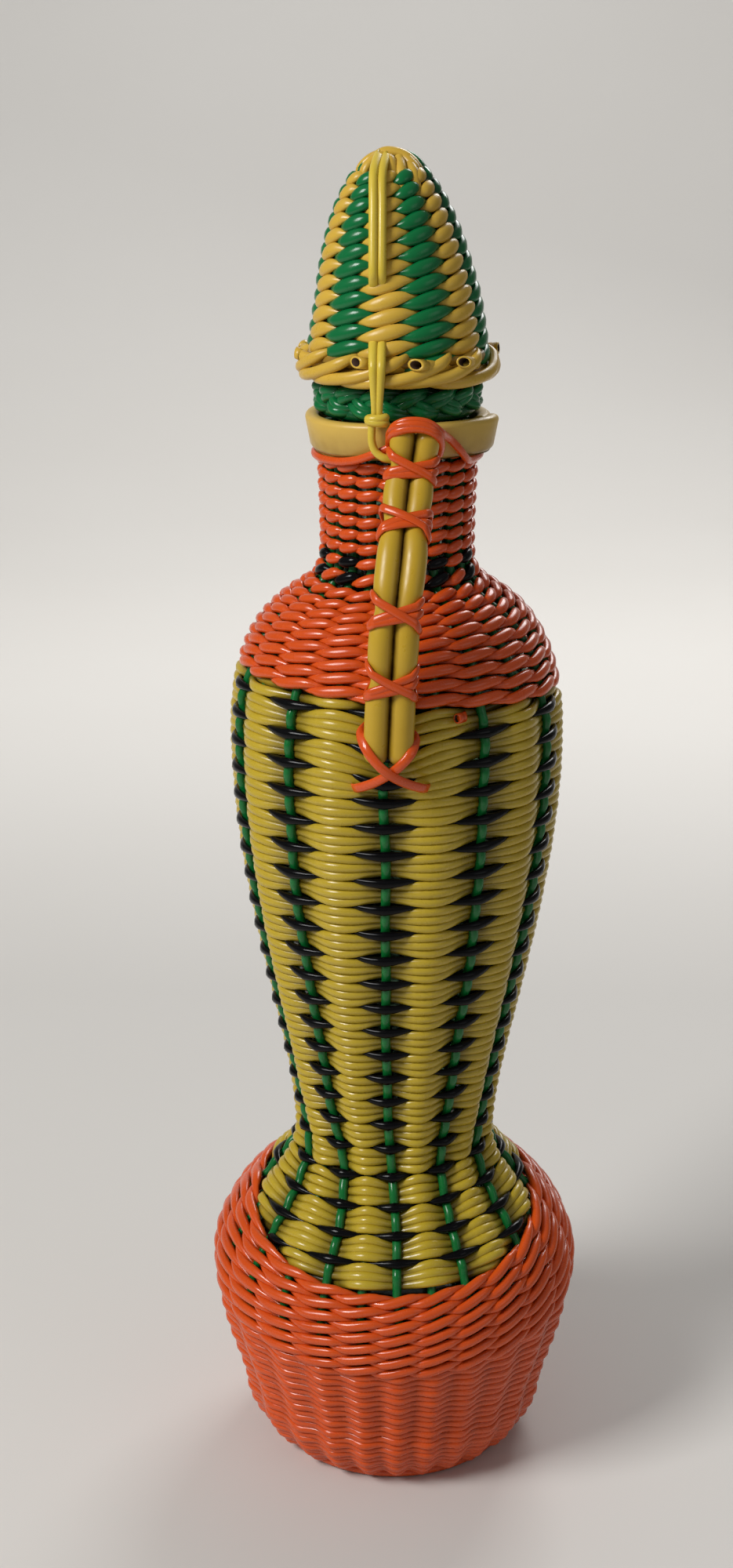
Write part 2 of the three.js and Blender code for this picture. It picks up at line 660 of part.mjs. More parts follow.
// Handle: the line midway between its two tubes leaves the collar, arches out and comes down
// to the body
const tubeRadius = TUBE_DIAMETER / 2;
const tubeOffset = tubeRadius + TUBE_GAP / 2;
const handleTop = collarTop - HANDLE_TOP_DROP;
const handleFoot = BODY_HEIGHT + HANDLE_FOOT_RISE;
const handleStart = collarRadius + SEAT_GAP + tubeRadius;
const handleEnd = weaveRadiusAt(handleFoot) + SEAT_GAP + tubeRadius;
const handleReach = handleEnd + HANDLE_BOW;
const handleRoute = ARCH.map(([drop, reach]) => [
  drop,
  lerp(handleStart, handleReach, reach),
]);
handleRoute.push([1, handleEnd]);
const handleLine = new THREE.CatmullRomCurve3(handleRoute.map(([drop, reach]) => new THREE.Vector3(
  lerp(HANDLE_TOP_SHIFT, HANDLE_FOOT_SHIFT, drop ** HANDLE_SHIFT_POWER),
  -reach,
  lerp(handleTop, handleFoot, drop),
)), false, 'centripetal');

// Middle of the handle at a share of its length, with the ways along, across and outwards
function handleFrame(share) {
  const middle = handleLine.getPointAt(share);
  const along = handleLine.getTangentAt(share);
  const across = new THREE.Vector3(1, 0, 0).addScaledVector(along, -along.x).normalize();
  return { middle, along, across, outwards: across.clone().cross(along).negate() };
}

function handleShareAt(height) {
  let low = 0;
  let high = 1;
  for (let i = 0; i < HALVINGS; i += 1) {
    const share = (low + high) / 2;
    if (handleLine.getPointAt(share).z > height) {
      low = share;
    } else {
      high = share;
    }
  }
  return low;
}

function handleTube(offset) {
  const sections = [];
  for (let i = 0; i <= TUBE_STEPS; i += 1) {
    const { middle, across, outwards } = handleFrame(i / TUBE_STEPS);
    const section = [];
    for (let k = 0; k < TUBE_SIDES; k += 1) {
      const turn = (TAU * (k + 0.5)) / TUBE_SIDES;
      section.push(middle.clone()
        .addScaledVector(across, offset + tubeRadius * Math.cos(turn))
        .addScaledVector(outwards, tubeRadius * Math.sin(turn)));
    }
    sections.push(section);
  }
  return loft(sections, false);
}
add('handle_tube_left', handleTube(-tubeOffset), COLOURS.yellow, CORD_ROUGHNESS);
add('handle_tube_right', handleTube(tubeOffset), COLOURS.yellow, CORD_ROUGHNESS);

// Flat wraps round both tubes; each corner is a point beside a tube's middle and a turn round it
function wrapSections(frame, corners) {
  const inner = tubeRadius + BINDING_GAP;
  const half = BINDING_WIDTH / 2;
  return corners.map(({ side, turn, drop }) => {
    const corner = (distance, lift) => frame.middle.clone()
      .addScaledVector(frame.across, side * tubeOffset + distance * Math.cos(turn))
      .addScaledVector(frame.outwards, distance * Math.sin(turn) - drop)
      .addScaledVector(frame.along, lift);
    const outer = inner + BINDING_THICKNESS;
    return [corner(inner, -half), corner(inner, half), corner(outer, half), corner(outer, -half)];
  });
}

function binding(height) {
  const corners = [];
  for (let k = -2; k <= 2; k += 1) {
    corners.push({ side: 1, turn: k * EIGHTH, drop: 0 });
  }
  for (let k = 2; k <= 6; k += 1) {
    corners.push({ side: -1, turn: k * EIGHTH, drop: 0 });
  }
  return loft(wrapSections(handleFrame(handleShareAt(height)), corners), true);
}
const wrapHeight = (place) => lerp(handleTop, handleFoot, place);
BINDING_PLACES.forEach((place, i) => {
  add(`handle_binding_${i + 1}`, binding(wrapHeight(place)), COLOURS.orange, CORD_ROUGHNESS);
});

// Lashings pass over the tubes and end on the round seat behind them
function lashing(height, seatRadius) {
  const frame = handleFrame(handleShareAt(height));
  const legOffset = tubeOffset + tubeRadius + BINDING_GAP + BINDING_THICKNESS / 2;
  const legDrop = (side) => {
    const aside = frame.middle.x + side * legOffset;
    return -frame.middle.y - Math.sqrt(seatRadius ** 2 - aside ** 2) - 2 * SEAT_GAP;
  };
  const corners = [{ side: 1, turn: 0, drop: legDrop(1) }];
  for (let k = 0; k <= 2; k += 1) {
    corners.push({ side: 1, turn: k * EIGHTH, drop: 0 });
  }
  for (let k = 2; k <= 4; k += 1) {
    corners.push({ side: -1, turn: k * EIGHTH, drop: 0 });
  }
  corners.push({ side: -1, turn: Math.PI, drop: legDrop(-1) });
  return loft(wrapSections(frame, corners), false);
}
const topLashing = wrapHeight(TOP_LASHING_PLACE);
const footLashing = wrapHeight(FOOT_LASHING_PLACE);
const footSeat = weaveRadiusAt(footLashing);
add('handle_top_lashing', lashing(topLashing, collarRadius), COLOURS.orange, CORD_ROUGHNESS);
add('handle_foot_lashing', lashing(footLashing, footSeat), COLOURS.orange, CORD_ROUGHNESS);

export default part;
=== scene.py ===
import math
from collections import namedtuple

import bpy
import numpy as np
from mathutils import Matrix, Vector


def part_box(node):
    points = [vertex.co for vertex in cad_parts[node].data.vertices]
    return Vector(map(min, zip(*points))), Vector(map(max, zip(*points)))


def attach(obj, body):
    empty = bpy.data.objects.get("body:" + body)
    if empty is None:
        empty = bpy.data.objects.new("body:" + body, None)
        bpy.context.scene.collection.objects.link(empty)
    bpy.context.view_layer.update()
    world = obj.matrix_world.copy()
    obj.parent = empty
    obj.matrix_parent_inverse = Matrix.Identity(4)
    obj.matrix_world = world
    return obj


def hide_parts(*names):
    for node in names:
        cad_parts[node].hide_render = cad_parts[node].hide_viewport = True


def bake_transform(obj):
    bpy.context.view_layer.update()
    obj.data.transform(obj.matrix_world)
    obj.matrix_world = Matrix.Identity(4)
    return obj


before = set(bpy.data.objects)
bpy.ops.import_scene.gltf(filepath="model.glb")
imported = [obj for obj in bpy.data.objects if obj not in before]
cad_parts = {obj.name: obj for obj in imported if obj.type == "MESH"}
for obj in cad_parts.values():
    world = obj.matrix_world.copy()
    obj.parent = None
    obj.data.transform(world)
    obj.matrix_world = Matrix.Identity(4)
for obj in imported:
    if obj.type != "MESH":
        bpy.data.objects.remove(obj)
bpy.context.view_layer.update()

# Lengths are millimetres and angles degrees until a mesh is made. Angles run round the axis from
# the handle side (-Y) towards +X, and depths run inwards from the outer face of the weave.
MM = 0.001
TAU = 2 * math.pi

# Glass wall as drawn for the CAD part: radius and height of the four handles of each curve
GLASS_CURVES = [
    [(25, 5), (28.6, 5), (33.1, 11), (34, 17)],
    [(34, 17), (34, 23.6), (41, 36.8), (41, 50)],
    [(41, 50), (41, 65.96), (19.2, 72.04), (19.2, 88)],
    [(19.2, 88), (19.2, 108.8), (34.2, 150.4), (34.2, 192)],
    [(34.2, 192), (34.2, 233.65), (12, 216.5), (12, 241)],
    [(12, 241), (12, 251.65), (12.9, 265.85), (12.9, 276.5)],
]
GLASS_WALL = 2.4
GLASS_FLOOR = 5
MOUTH = 276.5
COVER = 6.6  # glass to the outer face of the weave

# Weave
STAKES = 20
SEAM_ANGLE = -184.0  # rows start here, at the back
STAKE_CORD = 2.3
STAKE_DEPTH = 3.1
TURNS = 22  # of the yellow and black rows between two heights on the glass
YELLOW_START = 57.5
YELLOW_END = 208.0
YELLOW_CORD = 2.5
BLACK_CORD = 2.3
FLATTER = 0.4  # pressed cords are this much less deep than wide
FRONT_EDGE = 62.0  # height where the yellow rows begin at the front
BACK_EDGE = 73.0
SHOULDER_EDGE = 208.7  # height where they end, more at one angle and less across from it
SHOULDER_TILT = 3.3
SHOULDER_TILT_ANGLE = -55.0
BASE_ROWS = 7
BASE_ROW_PITCH = 3.35
BASE_LEVEL_REACH = 42.0  # the orange rows lie level this far from the edge
SHOULDER_LEVEL_REACH = 26.0
PLAIN_ROW_PITCH = 1.9
PLAIN_CORD = 2.2
SHOULDER_ROW_PITCH = 3.55
NECK_ROW_PITCH = 3.15
NECK_START = 235.5  # height on the glass
ACCENT_HEIGHTS = (235.3, 239.6)
COLLAR_FOOT = 262.6
COLLAR_TOP = 271.0

# Where the rows and stakes leave their even places
CROWD_HEIGHTS = (70, 105)  # the stakes crowd to the front under the first, not over the second
CROWD_ANGLE = 19.0
CROWD_TWIST = 5.5
PULL = 4.0  # the handle's foot pulls the rows down this far
PULL_HEIGHT = 199.0
PULL_REACH = 8.0
PULL_ANGLE = -2.0
PULL_WIDTH = 13.0  # degrees

# Cap
CAP_STAKES = 12
CAP_CURVE = [(21.6, 283.5), (19.5, 300), (14.4, 330), (0, 330)]
CAP_ROW_PITCH = 3.55
CAP_CORD = 3.1
CAP_COLUMN_ANGLE = -8.0  # cream column beside the handle
CAP_LEAN = 2.0  # how far the top leans to the left
CAP_LEAN_START = 298.0
CAP_LEAN_HEIGHT = 32.0
CAP_TOP_RADIUS = 8.6  # the twined rows end here
FOLDED_CORD = (2.8, 2.5)  # width and depth, over the top and round the brim


def smooth_step(low, high, value):
    share = np.clip((value - low) / (high - low), 0, 1)
    return share * share * (3 - 2 * share)


def unit(ways):
    return ways / np.linalg.norm(ways, axis=-1, keepdims=True)


def run_of(line):
    """Distance from the start of a line to each of its points."""
    return np.concatenate([[0], np.cumsum(np.linalg.norm(np.diff(line, axis=0), axis=1))])


def spaced(line, steps):
    """The same line by evenly spaced points."""
    run = run_of(line)
    even = np.linspace(0, run[-1], steps)
    return np.stack([np.interp(even, run, line[:, k]) for k in range(line.shape[1])], axis=1)


def bezier(handles, steps):
    share = np.linspace(0, 1, steps)[:, None]
    a, b, c, d = (np.array(handle, float) for handle in handles)
    rest = 1 - share
    return rest**3 * a + 3 * rest**2 * share * b + 3 * rest * share**2 * c + share**3 * d


def smooth_path(points, steps):
    """A curve through points, evenly spaced."""
    points = np.array(points, float)
    ends = np.vstack([2 * points[0] - points[1], points, 2 * points[-1] - points[-2]])
    share = np.linspace(0, 1, 24, endpoint=False)[:, None]
    pieces = []
    for a, b, c, d in zip(ends, ends[1:], ends[2:], ends[3:]):
        bend = 2 * a - 5 * b + 4 * c - d
        turn = 3 * b - a - 3 * c + d
        pieces.append(0.5 * (2 * b + (c - a) * share + bend * share**2 + turn * share**3))
    return spaced(np.vstack([*pieces, points[-1:]]), steps)


def round_axis(radius, turn, height):
    """Points round the upright axis; turn is in radians."""
    places = np.broadcast_arrays(radius * np.sin(turn), -radius * np.cos(turn), height)
    return np.stack(places, axis=-1)


def from_axis(line):
    """Level ways from the upright axis to the points of a line."""
    return unit(line * np.array([1, 1, 0]))


def wobble(turn, seed, size):
    """Slow unevenness along a cord, the same at each run."""
    dice = np.random.RandomState(seed)
    total = np.zeros_like(turn)
    for pace in (1.3, 2.9, 5.7):
        total += np.sin(turn * pace * dice.uniform(0.8, 1.2) + dice.uniform(0, TAU))
    return size * total / 3


class Skin:
    """A turned surface, by the distance along its profile and the depth under its outer face."""

    def __init__(self, profile, outward):
        self.run = run_of(profile)
        self.profile = profile
        self.outward = outward

    def along_at(self, height):
        return np.interp(height, self.profile[:, 1], self.run)

    def at(self, along, depth):
        out = [np.interp(along, self.run, self.outward[:, k]) for k in (0, 1)]
        face = [np.interp(along, self.run, self.profile[:, k]) for k in (0, 1)]
        return face[0] - depth * out[0], face[1] - depth * out[1], out

    def place(self, along, depth, turn):
        """Points and the ways out of the surface there; turn is in radians."""
        radius, height, out = self.at(along, depth)
        return round_axis(radius, turn, height), round_axis(out[0], turn, out[1])


def profile_normals(profile, soften):
    """Ways out of a profile that runs upwards, averaged over some points to either side."""
    steps = np.gradient(profile, axis=0)
    normals = unit(np.stack([steps[:, 1], -steps[:, 0]], axis=1))
    reach = np.arange(-3 * soften, 3 * soften + 1)
    weights = np.exp(-0.5 * (reach / soften) ** 2)
    weights /= weights.sum()
    padded = np.pad(normals, ((3 * soften, 3 * soften), (0, 0)), mode="edge")
    return unit(np.stack([np.convolve(padded[:, k], weights, "valid") for k in (0, 1)], axis=1))


def even_profile(curves, spacing=0.25):
    dense = np.vstack([bezier(handles, 200)[(1 if i else 0):] for i, handles in enumerate(curves)])
    return spaced(dense, int(run_of(dense)[-1] / spacing))


glass_line = even_profile(GLASS_CURVES)
glass_out = profile_normals(glass_line, 16)
weave = Skin(glass_line + COVER * glass_out, glass_out)
cap_line = even_profile([CAP_CURVE])
cap = Skin(cap_line, profile_normals(cap_line, 4))


def along_over(height):
    """Distance along the weave over a height on the glass."""
    return float(np.interp(height, glass_line[:, 1], weave.run))


def cap_along(radius):
    """Distance along the cap where it is this wide."""
    return np.interp(radius, cap.profile[::-1, 0], cap.run[::-1])


SEAM = math.radians(SEAM_ANGLE)
STEP = TAU / STAKES
PAIRS = STAKES // 2
winding_start = along_over(YELLOW_START)
pitch = (along_over(YELLOW_END) - winding_start) / (TURNS + 0.5)
front_edge = weave.along_at(FRONT_EDGE)
shoulder_edge = weave.along_at(SHOULDER_EDGE)
cap_top_row = float(cap_along(CAP_TOP_RADIUS))


def drift(along, turn):
    """The stakes crowd together at the front of the bulb."""
    share = 1 - smooth_step(*weave.along_at(CROWD_HEIGHTS), along)
    from_seam = turn - SEAM
    shift = CROWD_TWIST * (1 - np.cos(from_seam)) / 2 + CROWD_ANGLE * np.sin(from_seam)
    return turn + share * np.radians(shift)


def settle(along, turn):
    """Rows are pulled down under the handle's foot."""
    aside = np.mod(turn - math.radians(PULL_ANGLE) + math.pi, TAU) - math.pi
    aside = aside / math.radians(PULL_WIDTH)
    away = (along - weave.along_at(PULL_HEIGHT)) / PULL_REACH
    return along - PULL * np.exp(-(aside**2)) * np.exp(-(away**2))


def lay(along, depth, turn):
    """Points and ways out of a strand, where the rows really lie."""
    angle = drift(along, turn)
    return weave.place(settle(along, angle), depth, angle)


def lower_edge(angle):
    """Where the yellow rows begin: low at the front, high at the back."""
    share = 1 - np.maximum(0, np.cos(angle)) ** 1.2
    return weave.along_at(FRONT_EDGE + (BACK_EDGE - FRONT_EDGE) * share)


def upper_edge(angle):
    """Where the yellow rows end."""
    tilt = SHOULDER_TILT * np.cos(angle - math.radians(SHOULDER_TILT_ANGLE))
    return weave.along_at(SHOULDER_EDGE + tilt)


def inside_edges(along, turn):
    """Distance to the nearer edge of the yellow rows, below 0 outside them."""
    angle = drift(along, turn)
    return np.minimum(along - lower_edge(angle), upper_edge(angle) - along)


def leaf(wave, reach, point):
    """How far out a twined strand lies and how thick it is: a long grain with pointed ends. The
    wave is 1 where the strand is over a stake and -1 where it is under one."""
    return np.tanh(1.5 * wave + reach), np.maximum(0, wave) ** point


Strand = namedtuple("Strand", "points outward thickness tone closed")


def strand(points, outward, thickness=1.0, tone=0.5, closed=False):
    """One cord; thickness is a share of its size and tone runs from fresh to faded."""
    points = np.asarray(points, float)
    outward = np.broadcast_to(np.asarray(outward, float), points.shape)
    return Strand(points, outward, np.broadcast_to(thickness, len(points)), tone, closed)


# Node trees


def set_inputs(tree, node, inputs):
    """Each input is a value, a socket, or a node, which gives the first output that it uses."""
    for key, value in inputs.items():
        if isinstance(value, bpy.types.Node):
            value = next(socket for socket in value.outputs if socket.enabled)
        if isinstance(value, bpy.types.NodeSocket):
            tree.links.new(value, node.inputs[key])
        else:
            node.inputs[key].default_value = value


def add_node(tree, kind, inputs=None, **settings):
    """A node with its settings and inputs."""
    node = tree.nodes.new(kind)
    for key, value in settings.items():
        setattr(node, key, value)
    set_inputs(tree, node, inputs or {})
    return node


def cord_tree():
    """Sweeps an oval cord along each chain of edges, as thick as its points say."""
    tree = bpy.data.node_groups.new("swept_cord", "GeometryNodeTree")
    sockets = {"Geometry": "Geometry", "Width": "Float", "Depth": "Float", "Sides": "Int"}
    for name, kind in {**sockets, "Material": "Material"}.items():
        tree.interface.new_socket(name, in_out="INPUT", socket_type="NodeSocket" + kind)
    tree.interface.new_socket("Geometry", in_out="OUTPUT", socket_type="NodeSocketGeometry")
    given = tree.nodes.new("NodeGroupInput").outputs
    line = add_node(tree, "GeometryNodeMeshToCurve", {"Mesh": given["Geometry"]})
    way = add_node(tree, "GeometryNodeInputNamedAttribute", {"Name": "outward"}, data_type="FLOAT_VECTOR")
    facing = add_node(tree, "GeometryNodeSetCurveNormal", {"Curve": line, "Normal": way}, mode="FREE")
    sides = {"Resolution": given["Sides"], "Radius": 0.5}
    circle = add_node(tree, "GeometryNodeCurvePrimitiveCircle", sides, mode="RADIUS")
    oval = add_node(tree, "ShaderNodeCombineXYZ", {"X": given["Depth"], "Y": given["Width"], "Z": 1.0})
    section = add_node(tree, "GeometryNodeTransform", {"Geometry": circle, "Scale": oval})
    thickness = add_node(tree, "GeometryNodeInputNamedAttribute", {"Name": "thickness"}, data_type="FLOAT")
    path = {"Curve": facing, "Profile Curve": section, "Scale": thickness, "Fill Caps": True}
    swept = add_node(tree, "GeometryNodeCurveToMesh", path)
    shaded = add_node(tree, "GeometryNodeSetShadeSmooth", {"Geometry": swept})
    real = add_node(tree, "GeometryNodeRealizeInstances", {"Geometry": shaded})
    painted = add_node(tree, "GeometryNodeSetMaterial", {"Geometry": real, "Material": given["Material"]})
    add_node(tree, "NodeGroupOutput", {"Geometry": painted})
    return tree


swept_cord = cord_tree()


def linear(colour):
    """sRGB hex to linear colour."""
    parts = [int(colour[k : k + 2], 16) / 255 for k in (1, 3, 5)]
    return [c / 12.92 if c <= 0.04045 else ((c + 0.055) / 1.055) ** 2.4 for c in parts] + [1.0]


def per_metre(size):
    """Scale of a noise whose blotches are about this many millimetres across."""
    return 1 / (size * MM)


def new_material(name):
    """A material, its tree, its shader and the place on the piece."""
    material = bpy.data.materials.new(name)
    material.use_nodes = True
    tree = material.node_tree
    place = add_node(tree, "ShaderNodeTexCoord").outputs["Object"]
    return material, tree, tree.nodes["Principled BSDF"], place


DYE_BLOTCH = 6.25
# Size in millimetres of the patches that make the painted crevice shade stronger or weaker
SHADE_PATCH = 2.4
SKIN_GRAIN = 1.1  # real die marks are finer; drawn as coarse as a close view needs


def cord_plastic(name, colour, worn, shade_colour, gloss=0.3, shine=0.4):
    """Vinyl craft cord: a little uneven in colour, with painted brown shade where it lies deep, shiny on
    top.
    """
    material, tree, shader, place = new_material(name)
    dye = {"Vector": place, "Scale": per_metre(DYE_BLOTCH), "Detail": 4.0, "Roughness": 0.6}
    mottle = add_node(tree, "ShaderNodeTexNoise", dye)
    tone = add_node(tree, "ShaderNodeAttribute", attribute_name="tone").outputs["Fac"]
    uneven = add_node(tree, "ShaderNodeMath", {0: mottle, 1: tone, 2: 0.12}, operation="MULTIPLY_ADD")
    shades = {"Factor": uneven, "A": linear(colour), "B": linear(worn)}
    colours = add_node(tree, "ShaderNodeMix", shades, data_type="RGBA")
    shade_patches = {"Vector": place, "Scale": per_metre(SHADE_PATCH), "Detail": 3.0}
    patch = add_node(tree, "ShaderNodeTexNoise", shade_patches)
    spans = []
    for low, high in ((0.7, 1.0), (gloss - 0.06, gloss + 0.1)):
        span = {"Value": patch, "From Min": 0.3, "From Max": 0.7, "To Min": low, "To Max": high}
        spans.append(add_node(tree, "ShaderNodeMapRange", span))
    # Painted shade: the colour turns to the shade colour where a point lies deep in the weave, a little
    # patchy
    painted_shade = add_node(tree, "ShaderNodeAttribute", attribute_name="painted_shade").outputs["Fac"]
    shade_ramp = add_node(tree, "ShaderNodeMath", {0: painted_shade, 1: spans[0]}, operation="MULTIPLY")
    shades = {"Factor": shade_ramp, "A": colours, "B": linear(shade_colour)}
    shaded_colour = add_node(tree, "ShaderNodeMix", shades, data_type="RGBA")
    marks = {"Vector": place, "Scale": per_metre(SKIN_GRAIN), "Detail": 2.0}
    grain = add_node(tree, "ShaderNodeTexNoise", marks)
    bump = add_node(tree, "ShaderNodeBump", {"Height": grain, "Strength": 0.06, "Distance": 0.2 * MM})
    finish = {"Base Color": shaded_colour, "Roughness": spans[1], "Normal": bump, "Specular IOR Level": shine}
    set_inputs(tree, shader, finish)
    return material


def plain_material(name, colour, worn, roughness, blotch):
    """Two close tones in blotches of a size, with a slight relief."""
    material, tree, shader, place = new_material(name)
    blotches = {"Vector": place, "Scale": per_metre(blotch), "Detail": 5.0}
    noise = add_node(tree, "ShaderNodeTexNoise", blotches)
    shades = {"Factor": noise, "A": linear(colour), "B": linear(worn)}
    colours = add_node(tree, "ShaderNodeMix", shades, data_type="RGBA")
    bump = add_node(tree, "ShaderNodeBump", {"Height": noise, "Strength": 0.2, "Distance": 0.3 * MM})
    set_inputs(tree, shader, {"Base Color": colours, "Roughness": roughness, "Normal": bump})
    return material


# Extruded vinyl cord of the weave: smooth from the die, so each grain has a bright streak of light
# The third colour of each cord is the painted shade for its crevices
orange_vinyl = cord_plastic("orange_vinyl", "#D85314", "#C44510", "#360D04", 0.23, 0.5)
yellow_vinyl = cord_plastic("yellow_vinyl", "#BEA42E", "#AE9224", "#40300A", 0.25, 0.5)
green_vinyl = cord_plastic("green_vinyl", "#0A6C2E", "#095E28", "#051F0D", 0.25)
# The same cord dyed black through and through: almost no light comes back but thin sharp lines
black_vinyl = cord_plastic("black_vinyl", "#060607", "#0B0A0C", "#030303", 0.16, 0.14)
# Cream cord of the cap, yellowed by age: a softer shine, with painted brown shade in the grooves
cream_vinyl = cord_plastic("cream_vinyl", "#D4AE42", "#C29832", "#50300C", 0.3)
# Green cord of the cap and the plait: a bluer green with small sharp lights
cap_green_vinyl = cord_plastic("cap_green_vinyl", "#0A6E3A", "#085E30", "#041C10", 0.2, 0.36)
# Soft vinyl tubing of the handle, rubbed by hands: wide dull lights, with painted shade along the seam
# between the tubes
tube_vinyl = cord_plastic("tube_vinyl", "#C4A02C", "#B08A20", "#3A1E08", 0.32)
# Cord of the tether: the palest yellow, with the lightest painted shade colour
tether_vinyl = cord_plastic("tether_vinyl", "#D8BE42", "#CAAC36", "#644512", 0.3)
# Flat vinyl strip of the collar: satin, with painted shade along its lower edge
collar_vinyl = cord_plastic("collar_vinyl", "#D2AE52", "#C29C40", "#5A3812", 0.34)
# Bark cork of the stopper, cut: dry and matt with darker pores
stopper_cork = plain_material("stopper_cork", "#B98D5C", "#7E5630", 0.9, 3.85)
# Pale green bottle glass, blown: clear and smooth, with a faint tint
bottle_glass = plain_material("bottle_glass", "#A9C4B2", "#9BB8A6", 0.06, 16.7)
bottle_glass.node_tree.nodes["Principled BSDF"].inputs["Transmission Weight"].default_value = 0.85
# Inside of a cut cord end: painted shade, a dull brown dark
bore_shade = plain_material("bore_shade", "#4A2A12", "#2E180A", 0.8, 3.3)


# Making pieces


def finish_piece(name, mesh, nodes, body="bottle"):
    """Puts a mesh in the scene on its body, in place of the CAD nodes that it shows better."""
    mesh.name = name
    piece = bpy.data.objects.new(name, mesh)
    bpy.context.collection.objects.link(piece)
    if body:
        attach(piece, body)
    if nodes:
        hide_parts(*nodes)
    return piece


def put_values(mesh, name, values):
    """A number for each point, or one for all, that a material or the cord tree reads by name."""
    if name in mesh.attributes:
        mesh.attributes.remove(mesh.attributes[name])
    layer = mesh.attributes.new(name, "FLOAT", "POINT")
    layer.data.foreach_set("value", np.array(np.broadcast_to(values, len(mesh.vertices)), np.float32))


def corners_of(mesh):
    """Points of a mesh in millimetres and their distances from the axis."""
    corners = np.zeros(len(mesh.vertices) * 3)
    mesh.vertices.foreach_get("co", corners)
    corners = corners.reshape(-1, 3) / MM
    return corners, np.hypot(corners[:, 0], corners[:, 1])


def sweep(strands, width, depth, sides, material):
    """One mesh of all the strands, swept by the cord tree."""
    points = np.vstack([s.points for s in strands]) * MM
    edges = []
    first = 0
    for s in strands:
        last = first + len(s.points) - 1
        edges += [(k, k + 1) for k in range(first, last)]
        if s.closed:
            edges.append((last, first))
        first = last + 1
    lines = bpy.data.meshes.new("cord_lines")
    lines.from_pydata(points.tolist(), edges, [])
    put_values(lines, "thickness", np.concatenate([s.thickness for s in strands]))
    put_values(lines, "tone", np.concatenate([np.full(len(s.points), s.tone) for s in strands]))
    layer = lines.attributes.new("outward", "FLOAT_VECTOR", "POINT")
    layer.data.foreach_set("vector", np.vstack([s.outward for s in strands]).astype(np.float32).ravel())
    holder = bpy.data.objects.new("cord_lines", lines)
    bpy.context.collection.objects.link(holder)
    maker = holder.modifiers.new("sweep", "NODES")
    maker.node_group = swept_cord
    sizes = {"Width": width * MM, "Depth": depth * MM, "Sides": sides, "Material": material}
    for item in swept_cord.interface.items_tree:
        if item.in_out == "INPUT" and item.name in sizes:
            maker[item.identifier] = sizes[item.name]
    seen = bpy.context.evaluated_depsgraph_get()
    mesh = bpy.data.meshes.new_from_object(
        holder.evaluated_get(seen), preserve_all_data_layers=True, depsgraph=seen
    )
    bpy.data.objects.remove(holder)
    bpy.data.meshes.remove(lines)
    return mesh


def depth_under(mesh, skin):
    """How far each point of a mesh lies under the outer face of a weave."""
    corners, radius = corners_of(mesh)
    face, _, out = skin.at(skin.along_at(corners[:, 2]), 0)
    return (face - radius) * np.maximum(out[0], 0.35)


def cords(name, strands, size, sides, material, nodes, skin=None, shade_ramp=(1.2, 4.2), body="bottle"):
    """A piece of swept cords; size is (width, depth). Under a skin, painted shade begins at the first
    depth and is full at the second."""
    mesh = sweep(strands, *size, sides, material)
    # Painted shade: points that lie deeper under the skin get darker, as in the crevices
    put_values(mesh, "painted_shade", smooth_step(*shade_ramp, depth_under(mesh, skin)) if skin else 0)
    return finish_piece(name, mesh, nodes, body)


def new_mesh(name, points, faces, material):
    """A smooth mesh from points in millimetres."""
    mesh = bpy.data.meshes.new(name)
    mesh.from_pydata((np.array(points) * MM).tolist(), [], faces)
    mesh.shade_smooth()
    mesh.materials.append(material)
    return mesh


def lathe(profile, steps, material):
    """Smooth turned mesh; the profile runs from axis to axis."""
    rings = [p for p in profile if p[0] > 1e-6]
    turn = np.arange(steps) * TAU / steps
    points = [round_axis(r, turn, z) for r, z in rings]
    points = np.vstack([*points, (0, 0, profile[0][1]), (0, 0, profile[-1][1])])
    high = len(points) - 1
    low = high - 1
    last = (len(rings) - 1) * steps
    faces = []
    for k in range(steps):
        j = (k + 1) % steps
        for first in range(0, last, steps):
            faces.append((first + k, first + j, first + steps + j, first + steps + k))
        faces.append((low, j, k))
        faces.append((high, last + k, last + j))
    return new_mesh("turned", points, faces, material)


def loft(sections, material, ring=False):
    """Mesh over like sections of points, closed at both ends unless it is a ring."""
    count = len(sections[0])
    faces = []
    for i in range(len(sections) - (0 if ring else 1)):
        n = (i + 1) % len(sections)
        for k in range(count):
            j = (k + 1) % count
            faces.append((i * count + k, i * count + j, n * count + j, n * count + k))
    if not ring:
        faces.append(tuple(range(count))[::-1])
        faces.append(tuple((len(sections) - 1) * count + k for k in range(count)))
    return new_mesh("lofted", np.vstack(sections), faces, material)


# Glass bottle and cork

PLUG_RADIUS = 9.9
CAP_WALL = 3.7  # the cork fills the cap inside this


def make_glass():
    foot, lip = glass_line[0, 1], glass_line[-1]
    inner = glass_line - GLASS_WALL * profile_normals(glass_line, 4)
    floor = foot + GLASS_FLOOR
    inside = inner[(inner[:, 1] > floor + 1) & (inner[:, 1] < lip[1] - 2)][::-24]
    profile = [(0, foot)]
    profile += [tuple(p) for p in glass_line[:-6:12]]
    for step_in, drop in ((0, 1), (0.5, 0.2), (1.2, 0), (GLASS_WALL - 0.4, 0.2), (GLASS_WALL, 1)):
        profile.append((lip[0] - step_in, lip[1] - drop))
    profile += [tuple(p) for p in inside]
    profile += [(inside[-1][0] - 2, floor), (0, floor)]
    mesh = lathe(profile, 96, bottle_glass)
    finish_piece("glass_bottle_smooth", mesh, ["glass_bottle"])


